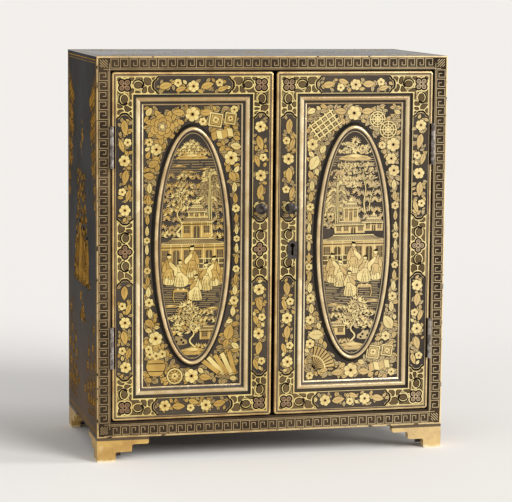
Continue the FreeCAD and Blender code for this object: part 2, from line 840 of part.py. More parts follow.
def build_lock():
    """The lock case with its key pin, the bolt, the strike plate and the escutcheon."""
    case = new_body("lock_case")
    across = ("door_meeting", "door_meeting + lock_case_width")
    inside = ("door_meeting + lock_wall", "door_meeting + lock_case_width - lock_wall")
    top = "lock_bottom + lock_case_height"
    hollow = rectangle(inside, ("lock_bottom + lock_wall", f"{top} - lock_wall"))
    pad(case, "XZ_Plane", "lock_front", "door_back", corners=rectangle(across, ("lock_bottom", top)))
    pocket(case, "XZ_Plane", "lock_front", "door_back - lock_wall", corners=hollow)
    pin = ("keyhole_x", "keyhole_height", "key_pin_radius")
    pad(case, "XZ_Plane", "lock_front", "door_back - lock_wall", circle=pin)
    pocket(case, "YZ_Plane", "door_meeting", "door_meeting + lock_wall", corners=strike_slot())

    bolt = new_body("lock_bolt")
    nose = "door_meeting + slide_clearance"
    tail = f"{nose} + lock_bolt_length"
    talon = "keyhole_x - talon_width / 2"
    outline = [
        (nose, "bolt_bottom"),
        (talon, "bolt_bottom"),
        (talon, "bolt_bottom + talon_depth"),
        (f"{talon} + talon_width", "bolt_bottom + talon_depth"),
        (f"{talon} + talon_width", "bolt_bottom"),
        (tail, "bolt_bottom"),
        (tail, "bolt_top"),
        (nose, "bolt_top"),
    ]
    pad(bolt, "XZ_Plane", "bolt_front", "bolt_back", corners=outline)

    strike = new_body("strike_plate")
    plate = rectangle(
        ("strike_centre - strike_width / 2", "strike_centre + strike_width / 2"),
        (
            "(bolt_bottom + bolt_top) / 2 - strike_height / 2",
            "(bolt_bottom + bolt_top) / 2 + strike_height / 2",
        ),
    )
    pad(strike, "YZ_Plane", "-door_meeting - strike_thickness", "-door_meeting", corners=plate)
    pocket(strike, "YZ_Plane", "-door_meeting - strike_thickness", "-door_meeting", corners=strike_slot())

    escutcheon = new_body("escutcheon")
    half = "escutcheon_width / 2"
    across = (f"keyhole_x - {half}", f"keyhole_x + {half}")
    up = (
        "keyhole_height + escutcheon_rise - escutcheon_height",
        "keyhole_height + escutcheon_rise",
    )
    pad(escutcheon, "XZ_Plane", "front - escutcheon_thickness", "front", corners=rectangle(across, up))
    soften(escutcheon, "escutcheon_top_round", "y", [(x, up[1]) for x in across])
    soften(escutcheon, "escutcheon_foot_round", "y", [(x, up[0]) for x in across])
    keyhole(escutcheon, "front - escutcheon_thickness", "front")


def build_knobs():
    """Two turned knobs, each a domed head on a neck and a bevelled rose, with a spigot in the stile."""
    head_back = "knob_projection - head_thickness"
    turned_profile = [
        ("0", "-spigot_length"),
        ("spigot_diameter / 2", "-spigot_length"),
        ("spigot_diameter / 2", "0"),
        ("rose_diameter / 2", "0"),
        ("rose_diameter / 2 - rose_bevel", "rose_thickness"),
        ("neck_diameter / 2", "rose_thickness"),
        ("neck_diameter / 2", head_back),
        ("head_diameter / 2 - head_bevel", head_back),
        ("head_diameter / 2", f"{head_back} + head_bevel"),
        ("head_diameter / 2", "knob_projection - crown_height"),
        ("head_diameter / 2 - crown_run", "knob_projection"),
        ("0", "knob_projection"),
    ]
    for name, side in SIDES.items():
        body = new_body(f"{name}_knob")
        sketch = new_sketch(body, "XY_Plane", "knob_height")
        bind(sketch, "AttachmentOffset.Base.x", signed(side, "knob_x"))
        bind(sketch, "AttachmentOffset.Base.y", "front")
        draw_outline(sketch, [(radius, f"-({reach})") for radius, reach in turned_profile])
        turning = body.newObject("PartDesign::Revolution", "turning")
        turning.Profile = sketch
        turning.ReferenceAxis = (sketch, ["V_Axis"])
        turning.Angle = FULL_TURN


def build_flush_bolts():
    """Two bolts that hold the left door, each a rod with a stud that runs in a slotted plate."""
    for name, (edge, inward) in FLUSH_BOLTS.items():
        low, high = flush_levels(edge, inward, "slide_clearance", "slide_clearance + flush_rod_length")
        length = f"({high}) - ({low})"
        shaft = rod(f"{name}_rod", "flush_rod_diameter / 2", length, "-flush_x", "flush_y", low)
        stud_height = f"{edge} + {inward} * flush_stud_drop"
        reach = "door_back + flush_stud_proud"
        stud = rod(
            f"{name}_stud",
            "flush_stud_diameter / 2",
            f"{reach} - flush_y",
            "-flush_x",
            reach,
            stud_height,
            OUTWARD,
        )
        keep(joined(f"{name}_bolt", [shaft, stud]), f"{name}_bolt")

        plate = new_body(f"{name}_bolt_plate")
        half = "flush_plate_width / 2"
        up = flush_levels(edge, inward, "flush_plate_inset", "flush_plate_inset + flush_plate_height")
        outline = rectangle((f"-flush_x - {half}", f"-flush_x + {half}"), up)
        pad(plate, "XZ_Plane", "flush_plate_front", "door_back", corners=outline)
        pocket(plate, "XZ_Plane", "flush_plate_front", "door_back", corners=flush_slot(edge, inward))


def check_model():
    """Stop if any object failed, any piece is unsound, or any pocket took nothing away."""
    for item in doc.Objects:
        if "Invalid" in item.State or "Error" in item.State:
            raise ValueError(f"{item.Label} failed: {item.State}")
        if item.TypeId == "PartDesign::Pocket":
            taken = item.BaseFeature.Shape.Volume - item.Shape.Volume
            if taken < TOLERANCE:
                raise ValueError(f"{item.Label} cuts nothing")
    for item in pieces:
        if item.Shape.isNull() or not item.Shape.isValid() or not item.Shape.Solids:
            raise ValueError(f"{item.Label} is not a sound solid")


def write_pieces():
    """Write each piece to a file of its own name."""
    os.makedirs("parts", exist_ok=True)
    for item in pieces:
        item.Shape.exportStep(f"parts/{item.Label}.step")


build_case()
build_shelves()
build_feet()
for door_name, door_side in SIDES.items():
    build_door(door_name, door_side)
build_hinges()
build_lock()
build_knobs()
build_flush_bolts()
doc.recompute()
check_model()
write_pieces()
print(f"{len(pieces)} pieces written")
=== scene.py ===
"""Looks of a black and gold lacquer table cabinet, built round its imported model."""

import logging
import random
from dataclasses import dataclass, field
from enum import Enum
from itertools import product
from math import atan2, cos, dist, pi, radians, sin, sqrt
from typing import Any, Callable, Iterable, Optional, Sequence, Union

import bpy
from mathutils import Matrix, Vector


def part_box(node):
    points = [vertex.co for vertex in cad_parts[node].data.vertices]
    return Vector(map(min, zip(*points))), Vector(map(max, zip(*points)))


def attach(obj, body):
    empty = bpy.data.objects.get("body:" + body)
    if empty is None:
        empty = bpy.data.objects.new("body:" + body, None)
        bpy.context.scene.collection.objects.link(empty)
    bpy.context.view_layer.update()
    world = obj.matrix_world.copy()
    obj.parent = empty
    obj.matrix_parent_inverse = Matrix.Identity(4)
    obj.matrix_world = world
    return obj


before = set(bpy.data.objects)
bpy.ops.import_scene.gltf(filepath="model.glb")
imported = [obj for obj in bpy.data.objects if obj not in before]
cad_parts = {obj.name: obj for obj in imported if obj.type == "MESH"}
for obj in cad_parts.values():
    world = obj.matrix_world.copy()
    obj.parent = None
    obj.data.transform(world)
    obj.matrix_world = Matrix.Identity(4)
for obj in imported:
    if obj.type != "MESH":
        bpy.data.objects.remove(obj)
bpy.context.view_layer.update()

LOG = logging.getLogger("cabinet")
MM = 0.001
TURN = 2 * pi
QUARTER = pi / 2
RIGHT = Vector((1, 0, 0))
UP = Vector((0, 0, 1))
SIDES = ("left", "right")
LEVELS = ("upper", "lower")

Point = tuple[float, float]
Outline = list[Point]
Discs = list[tuple[Point, float]]
Box = tuple[float, float, float, float]
Colour = tuple[float, float, float]
Fits = Callable[[Point, float], bool]


def srgb(red: float, green: float, blue: float) -> Colour:
    """Turn a paint chart's numbers, from 0 to 255, into the light that a shader works with."""
    shares = (part / 255 for part in (red, green, blue))
    return tuple(s / 12.92 if s <= 0.04045 else ((s + 0.055) / 1.055) ** 2.4 for s in shares)


# Shader maths


class Wire:
    """A shader socket that takes part in Python expressions."""

    def __init__(self, bench: "Bench", socket: bpy.types.NodeSocket) -> None:
        """Keep the socket and the bench that its nodes are added on."""
        self.bench = bench
        self.socket = socket

    def _maths(self, operation: str, first: "Value", second: "Value") -> "Wire":
        """Add the node for one operation on two numbers."""
        terms = {"Value": first, "Value_001": second}
        return self.bench.node("ShaderNodeMath", {"operation": operation}, terms)

    def __add__(self, other: "Value") -> "Wire":
        """A sum."""
        return self._maths("ADD", self, other)

    __radd__ = __add__

    def __sub__(self, other: "Value") -> "Wire":
        """A difference."""
        return self._maths("SUBTRACT", self, other)

    def __rsub__(self, other: "Value") -> "Wire":
        """A difference with the number first."""
        return self._maths("SUBTRACT", other, self)

    def __mul__(self, other: "Value") -> "Wire":
        """A product."""
        return self._maths("MULTIPLY", self, other)

    __rmul__ = __mul__

    def __lt__(self, other: "Value") -> "Wire":
        """One where this is the smaller."""
        return self._maths("LESS_THAN", self, other)

    def __gt__(self, other: "Value") -> "Wire":
        """One where this is the larger."""
        return self._maths("GREATER_THAN", self, other)

    def __and__(self, other: "Value") -> "Wire":
        """The smaller of the two."""
        return self._maths("MINIMUM", self, other)

    def __or__(self, other: "Value") -> "Wire":
        """The larger of the two."""
        return self._maths("MAXIMUM", self, other)

    def __abs__(self) -> "Wire":
        """The size without the sign."""
        return self._maths("ABSOLUTE", self, 0.0)


Value = Union[Wire, float, Sequence[float]]


class Bench:
    """One material under construction, with its node tree."""

    def __init__(self, name: str) -> None:
        """Start a material that holds only a Principled shader."""
        self.material = bpy.data.materials.new(name)
        self.material.use_nodes = True
        self.tree = self.material.node_tree
        self.shader = self.tree.nodes["Principled BSDF"]
        self.place = self.node("ShaderNodeTexCoord", out="Object")

    @staticmethod
    def _socket(sockets: Any, name: str) -> bpy.types.NodeSocket:
        """Find a socket by its identifier, or else by its name."""
        found = [socket for socket in sockets if socket.identifier == name]
        return found[0] if found else sockets[name]

    def feed(self, socket: bpy.types.NodeSocket, value: Value) -> None:
        """Link a wire to a socket, or set a number or a colour on it.

        Args:
            socket: The input.
            value: A wire, a number or a colour.
        """
        if isinstance(value, Wire):
            self.tree.links.new(value.socket, socket)
        else:
            socket.default_value = (*value, 1.0) if socket.type == "RGBA" else value

    def node(
        self,
        kind: str,
        settings: Optional[dict[str, Any]] = None,
        sockets: Optional[dict[str, Value]] = None,
        out: Optional[str] = None,
    ) -> Wire:
        """Add any node: its settings first, then its sockets.

        Args:
            kind: Blender's name for the node's type.
            settings: Values set on the node itself.
            sockets: Numbers or wires for its inputs.
            out: The output that is wanted, if not the first one in use.

        Returns:
            The wire from that output.
        """
        made = self.tree.nodes.new(kind)
        for name, value in (settings or {}).items():
            setattr(made, name, value)
        for name, value in (sockets or {}).items():
            self.feed(self._socket(made.inputs, name), value)
        if out:
            return Wire(self, self._socket(made.outputs, out))
        return Wire(self, next(socket for socket in made.outputs if socket.enabled))

    def axes(self) -> list[Wire]:
        """The place on the part, as X, Y and Z in metres."""
        return [self.node("ShaderNodeSeparateXYZ", None, {"Vector": self.place}, name) for name in "XYZ"]

    def noise(self, scale: float, detail: float = 3.0) -> Wire:
        """Soft random blotches, so many to the metre."""
        sockets = {"Vector": self.place, "Scale": scale, "Detail": detail}
        return self.node("ShaderNodeTexNoise", None, sockets, "Fac")

    def seams(self, scale: float) -> Wire:
        """The distance from the edges of irregular cells, so many to the metre."""
        sockets = {"Vector": self.place, "Scale": scale}
        return self.node("ShaderNodeTexVoronoi", {"feature": "DISTANCE_TO_EDGE"}, sockets, "Distance")

    def ease(self, value: Wire, low: float, high: float) -> Wire:
        """Rise smoothly from nought at one value to one at another."""
        sockets = {"Value": value, "From Min": low, "From Max": high}
        return self.node("ShaderNodeMapRange", {"interpolation_type": "SMOOTHSTEP"}, sockets, "Result")

    def mix(self, first: Value, second: Value, share: Wire) -> Wire:
        """Blend two colours, with the share of the second."""
        sockets = {"Factor_Float": share, "A_Color": first, "B_Color": second}
        return self.node("ShaderNodeMix", {"data_type": "RGBA"}, sockets, "Result_Color")

    def bump(self, height: Wire, depth: float) -> Wire:
        """A surface normal from a height, with a full height of so many metres."""
        return self.node("ShaderNodeBump", None, {"Height": height, "Distance": depth})

    def dress(self, **sockets: Value) -> bpy.types.Material:
        """Set the shader's sockets, named with underscores for spaces.

        Args:
            **sockets: Numbers, colours or wires.

        Returns:
            The finished material.
        """
        inputs = {socket.name.lower(): socket for socket in self.shader.inputs}
        for name, value in sockets.items():
            self.feed(inputs[name.replace("_", " ")], value)
        return self.material


# Finishes

UNDERCOAT = srgb(62, 46, 36)
SIDE_BLACK = srgb(18, 15, 12)
SIDE_BROWN = srgb(38, 30, 22)
# A paler tone that the sides take towards the bottom.
SIDE_PALE_LOW = srgb(116, 98, 82)
# A faint pale haze for the top, partly dust and partly painted sheen.
TOP_DUST_AND_SHEEN = srgb(206, 186, 164)
# Painted shade laid on the medallion's slope.
MEDALLION_SHADE = srgb(20, 17, 15)
# Painted shade for a moulding's bead: a browner, darker gold.
SHADED_BEAD = srgb(150, 116, 60)
# Painted light: a pale gold laid over gilding towards the right, where the light falls.
PAINTED_LIGHT_GOLD = srgb(250, 232, 190)
EDGE_DEPTH = 0.0012
TOP_DEPTH = 0.0005
# How high the sides stay paler above the bottom.
PALE_LOW_HEIGHT = 0.19
COAT_ROUGHNESS = 0.14


class Gilding(Enum):
    """Where a lacquered node differs from its ground."""

    NONE = "none"
    ARRIS = "arris"
    DOOR_EDGE = "door edge"
    BEAD = "bead"
    # The medallion's slope, darkened all round by painted shade.
    SLOPE = "slope"


@dataclass(frozen=True)
class Gilt:
    """Gold powder over lacquer, uneven in tone, rubbed through in places and paled towards the right by
    painted light.
    """

    name: str
    colour: Colour
    deep: Colour
    rubbed: float
    roughness: float = 0.42
    metallic: float = 0.3
    varnish: float = 0.0
    gloss: float = 0.5
    # How much painted light pales the gold towards the right.
    painted_light: float = 0.24

    def tone(self, bench: Bench) -> Wire:
        """The gold's colour over a surface, with painted light that pales it towards the right.

        Args:
            bench: The material that it is part of.

        Returns:
            The colour, with the undercoat where the gold has gone.
        """
        blotches = bench.ease(bench.noise(75.0), 0.36, 0.66)
        grains = bench.ease(bench.noise(1300.0, 2.0), 0.3, 0.8)
        gold = bench.mix(self.colour, self.deep, blotches * 0.7 + grains * 0.3)
        # Painted light: the gold grows paler towards the right, where the light falls.
        kept = bench.ease(bench.axes()[0], -0.04, 0.12)
        gold = bench.mix(gold, PAINTED_LIGHT_GOLD, kept * self.painted_light)
        limit = 0.78 - 0.5 * self.rubbed
        gone = bench.ease(bench.noise(420.0, 6.0), limit, limit + 0.1)
        return bench.mix(gold, UNDERCOAT, gone * 0.85)

    def material(self) -> bpy.types.Material:
        """Make the finish by itself, as on raised decoration."""
        bench = Bench(self.name)
        grain = bench.noise(900.0, 4.0)
        return bench.dress(
            base_color=self.tone(bench),
            metallic=self.metallic,
            roughness=grain * 0.25 + (self.roughness - 0.12),
            specular_ior_level=self.gloss,
            coat_weight=self.varnish,
            coat_roughness=COAT_ROUGHNESS,
            normal=bench.bump(grain, 0.00012),
        )


@dataclass(frozen=True)
class Lacquer:
    """Aged gloss lacquer with faint cracks and dust, gilt in named places, with painted shade on the
    medallion's slope and the bead's strips and a faint painted sheen on the case's top.
    """

    name: str
    ground: Colour
    brown: Colour
    gilding: Gilding = Gilding.NONE
    gilt: Optional[Gilt] = None
    roughness: float = 0.3
    gloss: float = 0.3

    def material(self) -> bpy.types.Material:
        """Make the finish, with its gilding where it has any."""
        bench = Bench(self.name)
        clouds = bench.ease(bench.noise(14.0, 4.0), 0.35, 0.68)
        dust = bench.ease(bench.noise(1500.0, 1.0), 0.6, 0.78)
        cracks = 1.0 - bench.ease(bench.seams(95.0), 0.0, 0.025)
        fade = clouds * 0.8 + dust * 0.35 + cracks * 0.3
        colour = bench.mix(self.ground, self.brown, fade)
        if self.gilding is Gilding.ARRIS:
            colour = self.case_tone_and_sheen(bench, colour, fade)
        # Painted shade: the medallion's slope is made near black all round.
        if self.gilding is Gilding.SLOPE:
            colour = bench.mix(colour, MEDALLION_SHADE, bench.axes()[1] > DOOR.plateau + 0.0003)
        waves = bench.noise(160.0, 2.0) - cracks * 0.25
        rough = clouds * 0.1 + dust * 0.25 + self.roughness
        sockets: dict[str, Value] = {"base_color": colour, "roughness": rough}
        if self.gilt:
            share = self.place_of_gold(bench)
            gold = self.gilt.tone(bench)
            # Painted shade: the bead's upper, lower and right-hand strips are darkened towards a browner
            # gold.
            if self.gilding is Gilding.BEAD:
                gold = bench.mix(gold, SHADED_BEAD, self.bead_shade(bench))
            sockets["base_color"] = bench.mix(colour, gold, share)
            sockets["metallic"] = share * self.gilt.metallic
            sockets["roughness"] = rough + share * (self.gilt.roughness - self.roughness - 0.1)
            sockets["coat_weight"] = share * self.gilt.varnish
        if self.gilding is Gilding.ARRIS:
            sockets["coat_weight"] = (bench.axes()[2] > CASE.top - TOP_DEPTH) * (1.0 - clouds * 0.2)
        sockets["normal"] = bench.bump(waves, 0.00015)
        return bench.dress(specular_ior_level=self.gloss, coat_roughness=COAT_ROUGHNESS, **sockets)

    @staticmethod
    def case_tone_and_sheen(bench: Bench, colour: Wire, fade: Wire) -> Wire:
        """Darken the case behind its front edges, make its sides paler low down and lay a faint pale haze on
        its top, partly dust and partly painted sheen.

        Args:
            bench: The material that it is part of.
            colour: The lacquer of the front edges.
            fade: How far the lacquer has gone brown.

        Returns:
            The colour of the whole case.
        """
        _, y, z = bench.axes()
        # The sides grow paler towards the bottom.
        paler_low = 1.0 - bench.ease(z, CASE.bottom, CASE.bottom + PALE_LOW_HEIGHT)
        board = bench.mix(SIDE_BLACK, SIDE_BROWN, fade)
        board = bench.mix(board, SIDE_PALE_LOW, paler_low * (fade * 0.4 + 0.38))
        colour = bench.mix(colour, board, y > CASE.front + EDGE_DEPTH)
        # Faint pale patches on the top: partly dust, partly painted sheen.
        worn = bench.ease(bench.noise(60.0, 6.0), 0.36, 0.72) * 0.07
        return bench.mix(colour, TOP_DUST_AND_SHEEN, (z > CASE.top - TOP_DEPTH) * worn)

    @staticmethod
    def bead_shade(bench: Bench) -> Wire:
        """How much painted shade darkens the gold on a moulding's upper, lower and right-hand strips.

        Args:
            bench: The material that it is part of.

        Returns:
            The share of painted shade.
        """
        x, _, z = bench.axes()
        middle = (DOOR.meeting + DOOR.outer) / 2
        across = x - middle + (x < 0.0) * (2 * middle)
        rise = z - (DOOR.bottom + DOOR.top) / 2
        reach = (DOOR.top - DOOR.bottom) / 2 - DOOR.rail
        span = (DOOR.outer - DOOR.meeting) / 2 - DOOR.stile
        upper = rise - reach > abs(across) - span
        lower = 0.0 - rise - reach > abs(across) - span
        right = across - span > abs(rise) - reach
        return upper * 0.8 | lower * 0.45 | right * 0.4

    def place_of_gold(self, bench: Bench) -> Wire:
        """One where the node is gilt and nought elsewhere.

        Args:
            bench: The material that it is part of.

        Returns:
            The share of gold.
        """
        x, y, z = bench.axes()
        width = abs(x)
        hand = (bench.noise(230.0) - 0.5) * 0.0009
        front = CASE.front
        if self.gilding is Gilding.ARRIS:
            reach = (width - CASE.half_width) | (z - CASE.top) | (CASE.bottom - z)
            chips = bench.noise(130.0, 5.0) < 0.62
            return (reach + hand > -0.0016) * (y < front + EDGE_DEPTH) * chips
        if self.gilding is Gilding.DOOR_EDGE:
            sides = (width - DOOR.meeting) & (DOOR.outer - width)
            inside = (sides & (z - DOOR.bottom)) & (DOOR.top - z)
            rim = inside + hand * 0.5 < 0.0021
            line = (inside > 0.0033) * (inside + hand * 0.3 < 0.0037)
            return (rim | line) * (y < front + 0.0017)
        bead = y + hand * 0.3 < front + 0.0020
        lip = y + hand * 0.3 > front + 0.0033
        return bead | lip


@dataclass(frozen=True)
class FootGilt:
    """Gold on a bracket foot, worn at its bottom and shaded under the case."""

    name: str
    gilt: Gilt
    bare: Colour
    shade: Colour

    def material(self) -> bpy.types.Material:
        """Make the finish."""
        bench = Bench(self.name)
        _, _, z = bench.axes()
        ragged = (bench.noise(160.0, 5.0) - 0.5) * 0.006
        worn = 1.0 - bench.ease(z + ragged, 0.0008, 0.0035)
        scuffs = bench.ease(bench.noise(95.0, 5.0), 0.6, 0.7)
        colour = bench.mix(self.gilt.tone(bench), self.bare, worn | scuffs * 0.25)
        colour = bench.mix(colour, self.shade, (z > CASE.bottom - 0.0026) * 0.9)
        grain = bench.noise(500.0, 4.0)
        rough = grain * 0.25 + 0.35
        normal = bench.bump(grain, 0.0003)
        return bench.dress(base_color=colour, metallic=0.2, roughness=rough, normal=normal)


@dataclass(frozen=True)
class Metal:
    """Hardware metal, tarnished in blotches and scratched."""

    name: str
    colour: Colour
    tarnish: Colour
    roughness: float

    def material(self) -> bpy.types.Material:
        """Make the finish."""
        bench = Bench(self.name)
        stains = bench.ease(bench.noise(210.0, 5.0), 0.4, 0.64)
        scratches = bench.noise(1900.0, 2.0)
        return bench.dress(
            base_color=bench.mix(self.colour, self.tarnish, stains),
            metallic=0.85,
            roughness=stains * 0.2 + scratches * 0.15 + self.roughness,
            normal=bench.bump(scratches, 0.00008),
        )


# Sizes read from the model, in metres


@dataclass(frozen=True)
class CaseSize:
    """The outside and the opening of the case."""

    half_width: float
    front: float
    back: float
    bottom: float
    top: float
    opening_half: float
    opening_bottom: float


@dataclass(frozen=True)
class DoorSize:
    """One door, measured from the middle of the cabinet."""

    meeting: float
    outer: float
    bottom: float
    top: float
    stile: float
    rail: float
    panel: float
    plateau: float


def read_case() -> CaseSize:
    """Measure the case on its packed boards."""
    low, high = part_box("right_side")
    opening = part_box("upper_right_cleat")[1].x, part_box("bottom_board")[1].z
    return CaseSize(high.x, low.y, high.y, low.z, high.z, *opening)


def read_door() -> DoorSize:
    """Measure a door on its packed stiles, rails, panel and medallion."""
    low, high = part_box("right_meeting_stile")
    return DoorSize(
        meeting=low.x,
        outer=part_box("right_hinge_stile")[1].x,
        bottom=low.z,
        top=high.z,
        stile=high.x - low.x,
        rail=high.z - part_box("right_moulding")[1].z,
        panel=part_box("right_panel")[0].y,
        plateau=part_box("right_medallion")[0].y,
    )


CASE = read_case()
DOOR = read_door()


# Outlines, in millimetres


def spot(centre: Point, angle: float, reach: float) -> Point:
    """The point so far from a centre, in a direction."""
    return centre[0] + reach * cos(angle), centre[1] + reach * sin(angle)


def direction(start: Point, end: Point) -> float:
    """The angle of the way from one point to another."""
    return atan2(end[1] - start[1], end[0] - start[0])


def between(start: Point, end: Point, share: float) -> Point:
    """The point that lies a share of the way from one point to another."""
    return start[0] + share * (end[0] - start[0]), start[1] + share * (end[1] - start[1])


def oblong(left: float, low: float, right: float, high: float) -> Outline:
    """The corners of a rectangle."""
    return [(left, low), (right, low), (right, high), (left, high)]


def stretched(shape: Iterable[Point], middle: Point, wide: float, high: float) -> Outline:
    """A small shape brought to size about a middle."""
    return [(middle[0] + wide * x, middle[1] + high * y) for x, y in shape]


def ring(
    centre: Point, wide: float, high: float, sides: int = 16, start: float = 0.0, sweep: float = TURN
) -> Outline:
    """Walk round an ellipse, or along part of one.

    Args:
        centre: Its middle.
        wide: Half its width.
        high: Half its height.
        sides: Straight steps on the way.
        start: The angle of the first point.
        sweep: The angle that the walk covers.

    Returns:
        The points, without a repeat where the walk closes.
    """
    count = sides if abs(sweep) >= TURN else sides + 1
    angles = [start + sweep * step / sides for step in range(count)]
    return stretched([(cos(angle), sin(angle)) for angle in angles], centre, wide, high)


def smooth(points: Outline, rounds: int = 2, closed: bool = True) -> Outline:
    """Round off corners by cutting each of them.

    Args:
        points: The corners.
        rounds: How often the corners are cut.
        closed: Whether the last point joins the first.

    Returns:
        The rounded run of points.
    """
    for _ in range(rounds):
        following = points[1:] + points[:1] if closed else points[1:]
        cut: Outline = []
        for (ax, ay), (bx, by) in zip(points, following):
            cut.append((0.75 * ax + 0.25 * bx, 0.75 * ay + 0.25 * by))
            cut.append((0.25 * ax + 0.75 * bx, 0.25 * ay + 0.75 * by))
        points = cut if closed else [points[0], *cut, points[-1]]
    return points


def edges_of(outline: Outline) -> Iterable[tuple[Point, Point]]:
    """Each corner of an outline with the next one."""
    return zip(outline, outline[1:] + outline[:1])


def extent(outline: Outline) -> Box:
    """The left, right, lower and upper limits of an outline."""
    across, upwards = [x for x, _ in outline], [y for _, y in outline]
    return min(across), max(across), min(upwards), max(upwards)


def area(outline: Outline) -> float:
    """The area inside an outline, negative where it runs clockwise."""
    return sum(ax * by - bx * ay for (ax, ay), (bx, by) in edges_of(outline)) / 2


def trim(outline: Outline, start: Point, end: Point) -> Outline:
    """Keep the part of an outline on the left of a line.

    Args:
        outline: The corners.
        start: A point on the line.
        end: A later point on the line.

    Returns:
        The corners of what is left, which may be none.
    """

    def side(point: Point) -> float:
        """How far left of the line a point lies, to scale."""
        across = (end[0] - start[0]) * (point[1] - start[1])
        return across - (end[1] - start[1]) * (point[0] - start[0])

    kept: Outline = []
    for first, second in edges_of(outline):
        here, there = side(first), side(second)
        if here >= 0:
            kept.append(first)
        if here * there < 0:
            kept.append(between(first, second, here / (here - there)))
    return kept


def holds(outline: Outline, point: Point) -> bool:
    """Whether a point lies inside an outline.

    Args:
        outline: The corners.
        point: The point.

    Returns:
        True inside.
    """
    inside = False
    for (ax, ay), (bx, by) in edges_of(outline):
        if (ay > point[1]) != (by > point[1]):
            crossing = ax + (point[1] - ay) * (bx - ax) / (by - ay)
            inside = inside != (point[0] < crossing)
    return inside


def middle_of(outline: Outline) -> Point:
    """The mean of an outline's corners."""
    count = len(outline)
    return sum(x for x, _ in outline) / count, sum(y for _, y in outline) / count


def grown(outline: Outline, extra: float) -> Outline:
    """An outline with each corner moved away from its middle."""
    middle = middle_of(outline)
    return [spot(corner, direction(middle, corner), extra) for corner in outline]


# Raised gilding


class Tint(Enum):
    """The colours that decoration is laid in, by the names of their materials."""

    PALE = "pale_gilding"
    WARM = "warm_gilding"
    ROSE = "rose_gilding"
    FADED = "faded_gilding"
    LINE = "line_gilding"
    INK = "black_outline"
    CELL = "pebble_ground"
    OLD = "old_gold"
    AMBER = "amber_gold"
    STEEL = "screw_steel"


PALE, WARM, ROSE, FADED, LINE, INK, CELL, OLD, AMBER, STEEL = Tint
Tints = Sequence[Tint]


@dataclass(frozen=True)
class Ground:
    """A flat face that takes gilding: its middle, two directions and the step of a layer."""

    middle: Vector
    across: Vector
    up: Vector
    layer: float = 0.07

    def at(self, point: Point, height: float) -> Vector:
        """The place of a drawn point, in metres, so many millimetres above the face."""
        out = self.across.cross(self.up)
        return self.middle + MM * (point[0] * self.across + point[1] * self.up + height * out)


@dataclass(frozen=True)
class Plate:
    """One thin flat shape: its corners, the faces between them, its tint, layer and place in that."""

    corners: Outline
    faces: list[tuple[int, ...]]
    tint: Tint
    level: int
    order: float


